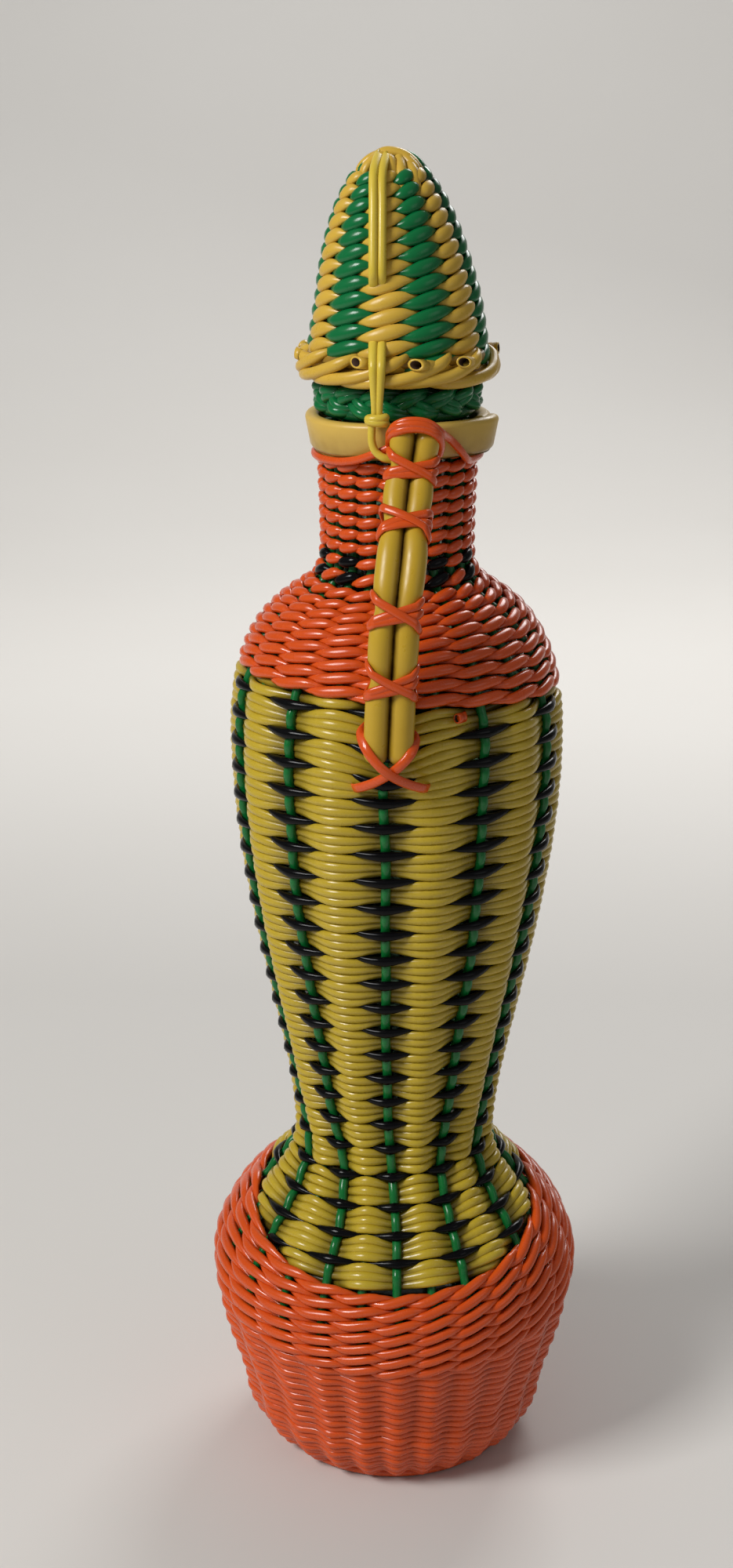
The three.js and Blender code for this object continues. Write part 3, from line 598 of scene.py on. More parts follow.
def make_cork():
    low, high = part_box("cork_stopper")
    foot = low.z / MM
    profile = [(0, foot), (PLUG_RADIUS - 1.3, foot), (PLUG_RADIUS - 0.7, foot + 0.7)]
    profile += [(PLUG_RADIUS, MOUTH + 0.2)]
    profile += [(13.3, MOUTH + 0.4), (13.4, MOUTH + 2.5), (17.8, MOUTH + 2.7), (18.0, MOUTH + 3.5)]
    profile += [(r - CAP_WALL, z) for r, z in cap_line[8::12] if r > 5]
    profile += [(0, high.z / MM - 0.2)]
    mesh = lathe(profile, 72, stopper_cork)
    finish_piece("cork_stopper_smooth", mesh, ["cork_stopper"], "cap")


make_glass()
make_cork()


# Yellow and black rows through the body

YELLOW_DEPTH = 2.35
YELLOW_SWING = 1.3  # in and out past the stakes
YELLOW_SQUEEZE = 0.9  # where the black crosses, the cords of a row lie this much closer
YELLOW_SAG = 0.6  # and this much lower
BLACK_DEPTH = 1.0
BLACK_DIP = 2.2  # it dives this far behind the yellow
BLACK_SAG = 0.4
ROW_START = 0.47  # share of the pitch
LOOSE_REACH = (10, 30)  # the lowest rows lie looser, this far from the edge
TUCK = 2.7  # how deep the ends go under the orange weaves


def stretches(keep):
    """First and last place of each unbroken stretch that is kept."""
    ends = np.flatnonzero(np.diff(np.concatenate([[0], keep.astype(int), [0]])))
    return [(first, last) for first, last in zip(ends[::2], ends[1::2]) if last - first > 5]


def cut_to_edges(along, depth, turn, thickness, tone):
    """The stretches of a winding between the orange weaves, with their ends tucked under those."""
    inside = inside_edges(along, turn)
    depth = depth + TUCK * (1 - smooth_step(-1.2, 2.4, inside))
    points, out = lay(along, depth, turn)
    return [
        strand(points[a:b], out[a:b], thickness[a:b], tone) for a, b in stretches(inside > -1.6)
    ]


def make_windings():
    """Rows of three yellow cords side by side, and the black cord that squeezes them at every
    second stake."""
    turn = np.linspace(0, (TURNS + 1.5) * TAU, int((TURNS + 1.5) * STAKES * 6) + 1)
    at_stake = np.cos(PAIRS * turn)  # 1 at a stake that lies over the yellow, -1 at one under it
    away = np.arccos(np.clip(at_stake, -1, 1)) / math.pi
    pinch = np.maximum(0, 1 - 1.1 * away)
    middle = winding_start + pitch * (turn / TAU + ROW_START)
    loose = 1 - smooth_step(*LOOSE_REACH, middle - front_edge)
    squeeze = YELLOW_SQUEEZE * pinch * (1 - loose) + loose * (0.2 + YELLOW_SQUEEZE / 2 * pinch)
    bands = []
    for k in (-1, 0, 1):
        spread = k * (pitch / 3 - squeeze) - YELLOW_SAG * pinch
        along = middle + spread + wobble(turn, 11 + k, 0.12)
        ride_out = 0.2 * pinch * (1 - abs(k))
        depth = YELLOW_DEPTH + YELLOW_SWING * at_stake - ride_out + wobble(turn, 21 + k, 0.1)
        thickness = 1 - 0.18 * pinch + wobble(turn, 31 + k, 0.03)
        bands += cut_to_edges(along, depth, SEAM + turn, thickness, 0.35 + 0.15 * k)
    size = (YELLOW_CORD, YELLOW_CORD - FLATTER)
    cords("yellow_rows", bands, size, 10, yellow_vinyl, ["yellow_winding"], weave, (0.8, 3.4))
    along = middle + pitch / 2 - BLACK_SAG * pinch + wobble(turn, 41, 0.12)
    depth = BLACK_DEPTH + (BLACK_DIP - 0.8 * loose) * (1 - pinch) ** 1.9
    thickness = 0.3 + 0.8 * pinch**1.2 + wobble(turn, 42, 0.03)
    black = cut_to_edges(along, depth, SEAM + turn, thickness, 0.5)
    size = (BLACK_CORD + 0.1, BLACK_CORD - FLATTER)
    cords("black_rows", black, size, 10, black_vinyl, ["black_winding"], weave)


make_windings()


# Stakes

STAKE_PRESS = 0.35  # each row presses them in or out
STAKE_OVER = 0.75  # among the yellow rows every second one stands out
STAKE_UNDER = 0.2  # and the others sink in


def make_stakes():
    along = np.linspace(weave.along_at(2.5), weave.along_at(COLLAR_TOP - 2), 420)
    stakes = []
    for i in range(STAKES):
        turn = SEAM + i * STEP + wobble(along / 30, 50 + i, 0.012)
        rows = (along - winding_start) / pitch - (i / STAKES + 0.97)
        in_rows = smooth_step(0, 5, inside_edges(along, turn))
        press = STAKE_PRESS * np.cos(TAU * rows) * in_rows
        if i % 2:
            depth = STAKE_DEPTH - press + STAKE_UNDER * in_rows
        else:
            depth = STAKE_DEPTH + press - STAKE_OVER * in_rows
        points, out = lay(along, depth, turn)
        stakes.append(strand(points, out, 1.0, 0.3 + 0.4 * ((i * 7) % 5) / 5))
    names = [f"stake_{kind}_{k:02d}" for kind in ("over", "under") for k in range(1, 11)]
    cords("green_stakes", stakes, (STAKE_CORD, STAKE_CORD), 10, green_vinyl, names, weave, (2.4, 5.0))


make_stakes()


# Orange rows: pairs of strands that swap at every stake, and single strands in and out

# A twined grain: its width and depth, how far it climbs and dips, how thin its ends get and how long
# it stays outside
Grain = namedtuple("Grain", "wide thick lift swing taper reach")
BASE_GRAIN = Grain(2.6, 2.1, 0.9, 1.2, 0.34, 1.1)
SHOULDER_GRAIN = Grain(2.8, 2.2, 0.7, 1.3, 0.42, 1.0)
NECK_GRAIN = Grain(2.6, 2.0, 0.36, 1.0, 0.48, 1.0)
PLAIN_DEPTH = 1.7
PLAIN_SWING = 0.2
PLAIN_RIB = 0.6


def under_edge(distance):
    """A row this far under the yellow: it follows the edge at first and lies level lower down."""

    def row(turn):
        rise = lower_edge(drift(front_edge - distance, turn)) - front_edge
        return front_edge - distance + rise * max(0.0, 1 - distance / BASE_LEVEL_REACH)

    return row


def over_edge(distance):
    """A row this far over the yellow."""

    def row(turn):
        rise = upper_edge(turn) - shoulder_edge
        return shoulder_edge + distance + rise * max(0.0, 1 - distance / SHOULDER_LEVEL_REACH)

    return row


def twined_row(row, grain, spread, seed):
    """The two strands of one row; each goes over every second stake. Spread makes them thicker
    where the rows lie farther apart."""
    turn = SEAM + np.linspace(0, TAU, STAKES * 14, endpoint=False)
    pair = []
    for side in (1, -1):
        wave = side * np.cos(math.pi * (turn - SEAM) / STEP)
        over, fat = leaf(wave, grain.reach, 0.6)
        rise = side * grain.lift * np.sin(math.pi * (turn - SEAM) / STEP)
        along = row(turn) + rise + wobble(turn - SEAM, seed + side, 0.1)
        points, out = lay(along, grain.thick / 2 + grain.swing * (1 - over), turn)
        gap = row(turn) - row(turn).min()
        thickness = (1 - grain.taper * (1 - fat)) * (1 + spread * gap)
        pair.append(strand(points, out, thickness, 0.3 + 0.1 * (seed % 5), True))
    return pair


def plain_row(row, parity, spread, seed):
    """One strand in and out; the rows bulge over the stakes together, which makes soft ribs."""
    turn = SEAM + np.linspace(0, TAU, STAKES * 8, endpoint=False)
    over = np.cos(math.pi * ((turn - SEAM) / STEP + parity))
    rib = np.cos(TAU * (turn - SEAM) / STEP)
    along = row(turn) + 0.15 * over + wobble(turn - SEAM, seed, 0.06)
    points, out = lay(along, PLAIN_DEPTH - PLAIN_SWING * over - PLAIN_RIB * rib, turn)
    gap = row(turn) - row(turn).min()
    thickness = 1.0 + spread * gap + wobble(turn - SEAM, seed + 1, 0.02)
    return strand(points, out, thickness, 0.3 + 0.1 * (seed % 5), True)


def make_base():
    twined = []
    for j in range(BASE_ROWS):
        distance = (j + 0.5) * BASE_ROW_PITCH
        twined += twined_row(under_edge(distance), BASE_GRAIN, 0.018, 100 + 3 * j)
    cords("base_twining", twined, BASE_GRAIN[:2], 9, orange_vinyl, ["base_weave"], weave, (1.0, 3.6))
    plain = []
    foot = weave.along_at(1.4)
    first = BASE_ROWS * BASE_ROW_PITCH + 0.2
    for j in range(int((front_edge - first - foot) / PLAIN_ROW_PITCH) + 1):
        distance = first + (j + 0.3) * PLAIN_ROW_PITCH
        plain.append(plain_row(under_edge(distance), j % 2, 0.014, 200 + 2 * j))
    size = (PLAIN_CORD, PLAIN_CORD - FLATTER)
    cords("base_plain_weave", plain, size, 9, orange_vinyl, ["base_weave"], weave, (0.9, 3.0))


def make_shoulder():
    last = weave.along_at(COLLAR_FOOT + 4)
    neck_from = along_over(NECK_START)
    rows = [SHOULDER_ROW_PITCH / 2]
    while shoulder_edge + rows[-1] < last - NECK_ROW_PITCH:
        low = shoulder_edge + rows[-1] < neck_from
        rows.append(rows[-1] + (SHOULDER_ROW_PITCH if low else NECK_ROW_PITCH))
    marks = [weave.along_at(z) - shoulder_edge for z in ACCENT_HEIGHTS]
    marked = [int(np.argmin(np.abs(np.array(rows) - mark))) for mark in marks]
    shoulder, neck, accent = [], [], []
    for j, distance in enumerate(rows):
        low = shoulder_edge + distance < neck_from
        pair = twined_row(over_edge(distance), SHOULDER_GRAIN if low else NECK_GRAIN, 0.0, 300 + 3 * j)
        if j in marked:
            accent.append(pair[0])
            pair = pair[1:]
        (shoulder if low else neck).extend(pair)
    size = SHOULDER_GRAIN[:2]
    cords("shoulder_twining", shoulder, size, 9, orange_vinyl, ["shoulder_weave"], weave, (1.0, 3.2))
    cords("neck_twining", neck, NECK_GRAIN[:2], 9, orange_vinyl, ["neck_weave"], weave, (1.0, 2.8))
    cords("neck_accent_rows", accent, size, 9, black_vinyl, ["neck_accent"], weave)


make_base()
make_shoulder()


# Underside: spokes and a flat spiral of cord woven through them

DOWN = (0, 0, -1)
SPIRAL_TURNS = 12
SPIRAL_START = 3.0
SPIRAL_REACH = 26.6
SPIRAL_HEIGHT = 2.5
SPIRAL_SWING = 0.95
SPIRAL_CORD = 2.3
RIM_RINGS = ((30.6, 1.5), (29.8, 3.4))  # radius and height


def make_underside():
    turn = np.linspace(0, SPIRAL_TURNS * TAU, SPIRAL_TURNS * STAKES * 4)
    radius = SPIRAL_START + SPIRAL_REACH * turn / turn[-1]
    row = np.floor(turn / TAU)
    wave = np.cos(math.pi * (turn / STEP + row)) * smooth_step(4, 12, radius)
    spiral = round_axis(radius, SEAM + turn, SPIRAL_HEIGHT - SPIRAL_SWING * wave)
    rows = [strand(spiral, DOWN, 1.0, 0.4)]
    rim_turn = np.linspace(0, TAU, 160, endpoint=False)
    for radius, height in RIM_RINGS:
        rows.append(strand(round_axis(radius, rim_turn, height), DOWN, 1.0, 0.4, True))
    size = (SPIRAL_CORD, SPIRAL_CORD)
    piece = cords("underside_spiral", rows, size, 8, orange_vinyl, ["base_disc"])
    corners, _ = corners_of(piece.data)
    # Painted shade on the higher points of the spiral, which lie deeper under the bottle
    put_values(piece.data, "painted_shade", smooth_step(2.0, 4.0, corners[:, 2]))
    spokes = []
    for i in range(STAKES):
        radius = np.linspace(4 if i % 2 else 1, 31, 14)
        spoke = round_axis(radius, SEAM + i * STEP, 2.6 + 0.04 * (radius - 1))
        spokes.append(strand(spoke, DOWN, 0.9, 0.4))
    cords("underside_spokes", spokes, (STAKE_CORD, STAKE_CORD), 8, green_vinyl, ["base_disc"])


make_underside()


# Collar and plaited rim

COLLAR_RADIUS = 21.7
COLLAR_THICKNESS = 3.3
COLLAR_EDGE = 1.25  # radius of its round edges
COLLAR_BOW = 0.45
COLLAR_DRAW_IN = 1.6  # at the lower edge
LAP_ANGLE = 77.0
LAP_RISE = 1.9
PLAIT_CYCLES = 5
PLAIT_RADIUS = 17.9
PLAIT_SWING = 1.9
PLAIT_RINGS = ((15.0, 1.7), (15.0, -1.7), (16.2, 0), (17.0, -2.9))  # radius, and height from the middle


def round_strip(width, thickness, corner, steps):
    """Outline of a flat strip with round edges: across and outward offsets."""
    outline = []
    for cx, cy, start in ((1, 1, 0), (-1, 1, 90), (-1, -1, 180), (1, -1, 270)):
        for k in range(steps + 1):
            t = math.radians(start + 90 * k / steps)
            across = cx * (width / 2 - corner) + corner * math.cos(t)
            outline.append((across, cy * (thickness / 2 - corner) + corner * math.sin(t)))
    return outline


def make_collar():
    """A flat strip round the neck with its end lapped over its start."""
    tall = COLLAR_TOP - COLLAR_FOOT
    outline = round_strip(tall, COLLAR_THICKNESS, COLLAR_EDGE, 4)
    sections = []
    for share in np.linspace(0, 1, 150):
        angle = math.radians(LAP_ANGLE - 6 + 372 * share)
        lap = LAP_RISE * smooth_step(0.9, 0.99, share)
        middle = COLLAR_RADIUS - COLLAR_THICKNESS / 2 + lap + 0.12 * math.sin(5 * angle)
        height = (COLLAR_TOP + COLLAR_FOOT) / 2 + 0.2 * math.sin(3 * angle + 1)
        section = []
        for across, out in outline:
            radius = middle + out
            if out > 0:
                radius += COLLAR_BOW * (1 - (2 * across / tall) ** 2)
                radius -= COLLAR_DRAW_IN * (0.5 - across / tall)
            section.append(round_axis(radius, angle, height + across))
        sections.append(np.array(section))
    mesh = loft(sections, collar_vinyl)
    corners, _ = corners_of(mesh)
    # Painted shade along the lower edge of the strip, where it meets the weave
    put_values(mesh, "painted_shade", 0.75 * (1 - smooth_step(0.2, 2.2, corners[:, 2] - COLLAR_FOOT)))
    finish_piece("collar_strip", mesh, ["collar_band"])


def make_plait():
    """Three double strands plaited round the mouth, over plain inner rings."""
    turn = np.linspace(0, TAU, PLAIT_CYCLES * 44, endpoint=False)
    low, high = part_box("rim_braid")
    middle = (low.z + high.z) / 2 / MM
    out = round_axis(1, turn, 0)
    strands = []
    for k in range(3):
        phase = PLAIT_CYCLES * turn + TAU * k / 3 + 0.25 * np.sin(2 * turn + k)
        for twin in (-1, 1):
            height = middle + PLAIT_SWING * np.sin(phase) + 0.2 * np.sin(3 * turn + 2 * k)
            height = height + twin * (0.75 + 0.25 * np.cos(2 * phase))
            radius = PLAIT_RADIUS + 1.0 * np.sin(2 * phase) + 0.25 * twin * np.cos(phase)
            strands.append(strand(round_axis(radius, turn, height), out, 0.72, 0.3 + 0.2 * k, True))
    for radius, rise in PLAIT_RINGS:
        strands.append(strand(round_axis(radius, turn, middle + rise), out, 1.0, 0.5, True))
    piece = cords("rim_plait", strands, (3.2, 2.8), 10, cap_green_vinyl, ["rim_braid"])
    _, radius = corners_of(piece.data)
    # Painted shade on the inner parts of the plait, darker towards the axis
    put_values(piece.data, "painted_shade", 1 - smooth_step(17.2, 19.4, radius))


make_collar()
make_plait()


# Cap

CAP_GRAIN_DEPTH = 1.05
CAP_SWING = 1.2
CAP_CLIMB = 0.9
CAP_STAKE_CORD = 2.2
CAP_STAKE_DEPTH = 3.3
CAP_TOP_MIDDLE = (-2.0, 0, 314.0)  # the strands over the top face away from here


def lean_at(height):
    """How far the crooked cone stands to the left at a height."""
    return CAP_LEAN * np.clip((height - CAP_LEAN_START) / CAP_LEAN_HEIGHT, 0, 1.1) ** 0.8


def lean(points):
    moved = points.copy()
    moved[:, 0] -= lean_at(points[:, 2])
    return moved


def make_cap_weave():
    """A cream and a green strand twined up the cone, so that each keeps to its own columns."""
    step = TAU / CAP_STAKES
    first = math.radians(CAP_COLUMN_ANGLE)
    turns = cap_top_row / CAP_ROW_PITCH
    turn = np.linspace(0, turns * TAU, int(turns * CAP_STAKES * 12))
    size = (CAP_CORD + 0.4, CAP_CORD - 1.0)
    for side, name, material in ((1, "cream", cream_vinyl), (-1, "green", cap_green_vinyl)):
        wave = side * np.cos(math.pi * turn / step)
        over, fat = leaf(wave, 1.1, 0.7)
        rise = side * CAP_CLIMB * np.sin(math.pi * turn / step)
        along = 0.6 + CAP_ROW_PITCH * turn / TAU + rise + wobble(turn, 60 + side, 0.12)
        near_top = smooth_step(cap_top_row - 14, cap_top_row, along)
        points, out = cap.place(along, CAP_GRAIN_DEPTH + CAP_SWING * (1 - over), first + turn)
        thickness = (0.5 + 0.52 * fat) * (1 - 0.1 * near_top)
        twined = strand(lean(points), out, thickness, 0.4)
        cords(f"cap_{name}_twining", [twined], size, 10, material, ["cap_weave"], cap, (0.6, 3.2), "cap")
    stakes = []
    along = np.linspace(0.2, cap_top_row + 3, 60)
    for i in range(CAP_STAKES):
        points, out = cap.place(along, CAP_STAKE_DEPTH, first + i * step)
        stakes.append(strand(lean(points), out, 0.9, 0.5))
    size = (CAP_STAKE_CORD, CAP_STAKE_CORD)
    cords("cap_stakes", stakes, size, 8, cream_vinyl, ["cap_weave"], cap, (0.5, 3.0), "cap")


def apex_strand(points, tone=0.4):
    line = smooth_path(points, 36)
    return strand(line, unit(line - np.array(CAP_TOP_MIDDLE)), 1.0, tone)


def apex_finger(angle, inner, depth):
    """A stake's end folded down from the top, with its tip under the highest row."""
    along = cap_along(np.array([inner, 3.4, 6.0, 8.4, 10.4]))
    sink = depth + np.array([0.6, 0, 0, 0.4, 2.2])
    turn = math.radians(angle) + np.linspace(0.25, 0, 5)
    points, _ = cap.place(along, sink, turn)
    return apex_strand(lean(points), 0.3 + 0.2 * (angle % 3))


def make_cap_top():
    """Strands folded over the top of the cone."""
    cream = [apex_finger(a, 1.2, 1.3) for a in (-62, 50, 95, 136, 180, 222, 262)]
    cream += [
        apex_strand([(-8.3, -1.4, 322.2), (-6.9, -1.2, 326.2), (-3.4, -1.0, 329.0),
                     (1.2, -1.6, 328.4), (4.3, -2.4, 325.6), (5.9, -3.2, 321.4)]),
        apex_strand([(-3.0, -0.8, 328.0), (-1.9, -4.6, 327.2), (-1.4, -7.4, 323.6),
                     (-1.0, -9.3, 319.4)], 0.6),
        apex_strand([(0.2, -2.6, 327.6), (0.6, -6.6, 324.8), (0.9, -9.2, 319.8)], 0.2),
        apex_strand([(2.2, -2.4, 327.0), (3.4, -5.9, 324.4), (4.1, -8.2, 319.6)], 0.5),
        apex_strand([(-6.2, 2.4, 325.6), (-3.0, 2.0, 328.4), (1.0, 1.0, 328.0), (4.6, 0.2, 325.2)], 0.3),
    ]
    green = [
        apex_strand([(-4.2, 3.6, 326.6), (-0.6, 3.4, 328.4), (3.4, 1.8, 327.4), (6.3, 0.6, 323.8),
                     (7.6, 0.2, 319.8)]),
        apex_finger(-95, 2.0, 1.6),
        apex_finger(20, 2.0, 2.4),
        apex_finger(158, 2.0, 1.8),
    ]
    for name, strands, material in (("cream", cream, cream_vinyl), ("green", green, cap_green_vinyl)):
        cords(f"cap_top_{name}", strands, FOLDED_CORD, 10, material, ["cap_weave"], cap, (0.8, 3.4), "cap")


def cut_end(point, way, radius, material, slant=(0, 0, 0)):
    """Open end of a hollow cord with its bore painted dark as shade, cut square or facing a little to one
    side.
    """
    way = unit(np.array(way, float))
    side = unit(np.cross(way, (0, 0, 1)))
    up = np.cross(side, way)
    deep = -1.6 - radius * np.linalg.norm(slant)
    # Share of the radius, distance along the cord, and whether the slant moves it; the last three
    # rings are the bore
    profile = [(0.97, deep, 0), (1.0, -0.2, 1), (0.97, 0.0, 1)]
    profile += [(0.7, 0.0, 1), (0.63, -0.3, 1), (0.58, deep + 0.2, 0)]
    sections = []
    for t in np.arange(14) * TAU / 14:
        ring = side * math.cos(t) + up * math.sin(t)
        back = radius * np.dot(ring, slant)
        sections.append(
            np.array([point + radius * r * ring + way * (d - cut * r * back) for r, d, cut in profile])
        )
    mesh = loft(sections, material, True)
    # The bore faces get the painted shade material
    mesh.materials.append(bore_shade)
    for face in mesh.polygons:
        rows = {v % len(profile) for v in face.vertices}
        face.material_index = 1 if rows <= {3, 4, 5} or rows <= {5, 0} else 0
    return mesh


def join_meshes(name, meshes):
    holders = []
    for mesh in meshes:
        holder = bpy.data.objects.new(name, mesh)
        bpy.context.collection.objects.link(holder)
        holders.append(holder)
    with bpy.context.temp_override(
        active_object=holders[0], object=holders[0], selected_objects=holders,
        selected_editable_objects=holders,
    ):
        bpy.ops.object.join()
    mesh = holders[0].data.copy()
    bpy.data.objects.remove(holders[0])
    return mesh


def finish_cut_ends(name, mesh, nodes, body):
    """Cut ends get no painted shade, and a middle tone."""
    put_values(mesh, "painted_shade", 0)
    put_values(mesh, "tone", 0.5)
    finish_piece(name, mesh, nodes, body)


BRIM_ENDS = (-83, -25, 8, 37, 97, 127, 158, 217, 248)  # angles of the cut ends
BRIM_STRANDS = 12
BRIM_START = -50.0
BRIM_SPAN = 92.0  # degrees that each strand runs round the edge
BRIM_TAPER = ((0, 0.1, 0.8, 1), (0.5, 1, 1, 0.15))  # pointed tips: share of the length, thickness
BRIM_CORE = ((19.4, 281.6), (19.6, 284.4))  # radius and height
CUT_RADIUS = 1.38
CUT_REACH = 2.8  # from the end of the strand to the cut


def brim_strand(angle, radius, height, tone, steps):
    line = smooth_path(round_axis(np.array(radius), np.radians(angle), np.array(height)), steps)
    taper = np.interp(np.linspace(0, 1, steps), *BRIM_TAPER)
    return strand(line, from_axis(line), taper, tone)


def make_brim():
    """Rolled border: strands that climb over each other round the edge, and stakes cut off open."""
    strokes, ends = [], []
    share = np.array([0, 0.2, 0.4, 0.6, 0.78, 0.9, 1.0])
    radius = (18.6, 21.0, 22.1, 22.6, 22.2, 20.9, 17.4)
    height = np.array([281.0, 280.2, 280.5, 281.6, 283.7, 285.6, 287.2])
    for i in range(BRIM_STRANDS):
        first = BRIM_START + 360 / BRIM_STRANDS * (i + 0.15 * math.sin(3.7 * i))
        raised = height + 0.3 * math.sin(2.3 * i)
        strokes.append(brim_strand(first + BRIM_SPAN * share, radius, raised, 0.3 + 0.1 * (i % 4), 44))
    reach = np.array([32, 22, 15, 11, 8])
    radius = (19.0, 20.6, 21.6, 22.2, 22.6)
    height = np.array([283.0, 283.4, 283.9, 284.2, 284.4])
    for i, last in enumerate(BRIM_ENDS):
        raised = height + 0.25 * math.sin(1.9 * i)
        stroke = brim_strand(last + reach, radius, raised, 0.4 + 0.1 * (i % 3), 26)
        stroke = stroke._replace(thickness=np.ones(26))
        strokes.append(stroke)
        tip = stroke.points[-1]
        way = unit(tip - stroke.points[-3])
        ends.append(cut_end(tip + CUT_REACH * way, way, CUT_RADIUS, cream_vinyl, stroke.outward[-1]))
    piece = cords("brim_border", strokes, FOLDED_CORD, 12, cream_vinyl, ["cap_brim"], body="cap")
    _, radius = corners_of(piece.data)
    # Painted shade on the inner parts of the border, darker towards the axis
    put_values(piece.data, "painted_shade", 1 - smooth_step(18.4, 21.2, radius))
    mesh = join_meshes("brim_cut_ends", ends)
    finish_cut_ends("brim_cut_ends", mesh, ["cap_brim"], "cap")
    turn = np.linspace(0, TAU, 120, endpoint=False)
    rings = [strand(round_axis(r, turn, z), (0, 0, 1), 1.0, 0.6, True) for r, z in BRIM_CORE]
    piece = cords("brim_core", rings, (3.0, 3.0), 10, cream_vinyl, ["cap_brim"], body="cap")
    # Painted shade over all of the core, which lies under the border
    put_values(piece.data, "painted_shade", 0.7)


make_cap_weave()
make_cap_top()
make_brim()


# Handle

TUBE = 5.85
TUBE_GAP = -0.15  # the tubes press into each other
TUBE_PINCH = 0.17  # share of the tube that a binding presses in
TUBE_PINCH_REACH = 3.2
HANDLE_LINE = [
    (4.3, -25.9, 271.6),
    (3.0, -26.5, 261.2),
    (2.0, -31.7, 253.4),
    (1.0, -39.5, 244.0),
    (-0.3, -44.2, 232.0),
    (-1.2, -44.5, 215.5),
    (-1.9, -44.1, 198.4),
]
# Height, and how far the two crossing loops climb
BINDINGS = [(262.5, 2.8, -2.4), (251.0, 3.2, -3.0), (233.8, 3.6, -3.2), (218.2, 3.6, -3.4)]


def handle_frames(line):
    along = unit(np.gradient(line, axis=0))
    across = unit(np.array([1.0, 0, 0]) - along * along[:, :1])
    return along, across, -np.cross(across, along)


handle_line = smooth_path(HANDLE_LINE, 220)
handle_along, handle_across, handle_out = handle_frames(handle_line)


def handle_at(height):
    """Middle of the handle and its ways along, across and out at a height."""
    i = int(np.argmin(np.abs(handle_line[:, 2] - height)))
    return handle_line[i], handle_along[i], handle_across[i], handle_out[i]


def make_handle():
    """Two soft tubes with round ends, pressed in by the bindings."""
    run = run_of(handle_line)
    to_end = np.clip(np.minimum(run, run[-1] - run) / (TUBE / 2), 0.05, 1)
    tight = 0 * run
    for height, _, _ in BINDINGS:
        tight = tight + TUBE_PINCH * np.exp(-(((handle_line[:, 2] - height) / TUBE_PINCH_REACH) ** 2))
    thick = np.sqrt(1 - (1 - to_end) ** 2) - tight
    offset = (TUBE / 2 * (1 - tight) - 0.2)[:, None]
    for side, name in ((-1, "left"), (1, "right")):
        tube = strand(handle_line + side * offset * handle_across, handle_out, thick, 0.4 + 0.1 * side)
        nodes = [f"handle_tube_{name}"]
        piece = cords(f"handle_tube_{name}_smooth", [tube], (TUBE, TUBE), 24, tube_vinyl, nodes)
        corners, _ = corners_of(piece.data)
        apart = np.linalg.norm(corners[:, None, :] - handle_line[None, ::4, :], axis=2)
        nearest = 4 * np.argmin(apart, axis=1)
        across = ((corners - handle_line[nearest]) * handle_across[nearest]).sum(axis=1)
        # Painted shade in the valley where the two tubes meet
        put_values(piece.data, "painted_shade", 1 - smooth_step(0.1, 1.2, np.abs(across)))


def round_pair(middle, along, across, out, tilt, over, shift):
    """A loop round both tubes, tilted so that it climbs from one side to the other."""
    turn = np.linspace(0, TAU, 96, endpoint=False)
    half = TUBE / 2 + TUBE_GAP / 2
    grow = (1 - TUBE_PINCH) * TUBE / 2 + 0.4
    side = np.clip(1.7 * np.cos(turn), -1, 1) * half + np.cos(turn) * grow
    front = np.sin(turn) * (grow + over + 0.2 * np.abs(np.sin(turn)) ** 4)
    rise = tilt * np.cos(turn) + shift
    points = middle + side[:, None] * across + front[:, None] * out + rise[:, None] * along
    ways = np.cos(turn)[:, None] * across + np.sin(turn)[:, None] * out
    return points, ways


def make_bindings():
    """Flat cords round both tubes: two that cross in front and one beside them."""
    for number, (height, tilt_a, tilt_b) in enumerate(BINDINGS, 1):
        at = handle_at(height)
        loops = []
        for tilt, over, shift in ((tilt_a, 0.8, 0.0), (tilt_b, 0.2, 0.2), (tilt_b + 1.2, 0.1, 1.7)):
            points, ways = round_pair(*at, tilt, over, shift)
            loops.append(strand(points, ways, 1.0, 0.4 + 0.1 * number, True))
        nodes = [f"handle_binding_{number}"]
        cords(f"handle_cross_{number}", loops, (2.0, 1.0), 10, orange_vinyl, nodes)


def lashing_strand(points, tone=0.5, steps=60):
    line = smooth_path(points, steps)
    return strand(line, from_axis(line), 1.0, tone)


def make_foot_lashing():
    """Two flat cords crossed over the handle's foot, with their ends in the weave."""
    strands = [
        lashing_strand([(-5.6, -37.8, 207.0), (-6.6, -40.6, 206.6), (-7.9, -43.6, 205.6),
                        (-6.9, -46.6, 203.2), (-4.4, -48.0, 200.0), (-1.2, -47.6, 197.0),
                        (2.4, -45.4, 194.4), (6.0, -42.0, 192.2), (7.4, -39.6, 191.4)]),
        lashing_strand([(2.2, -37.8, 205.6), (3.2, -40.8, 205.2), (4.3, -43.6, 204.2),
                        (3.4, -46.6, 202.0), (1.2, -47.2, 199.4), (-1.6, -46.3, 196.8),
                        (-5.0, -44.4, 194.2), (-8.6, -41.4, 192.0), (-9.8, -39.0, 191.2)]),
    ]
    cords("handle_foot_cross", strands, (2.3, 1.2), 10, orange_vinyl, ["handle_foot_lashing"])


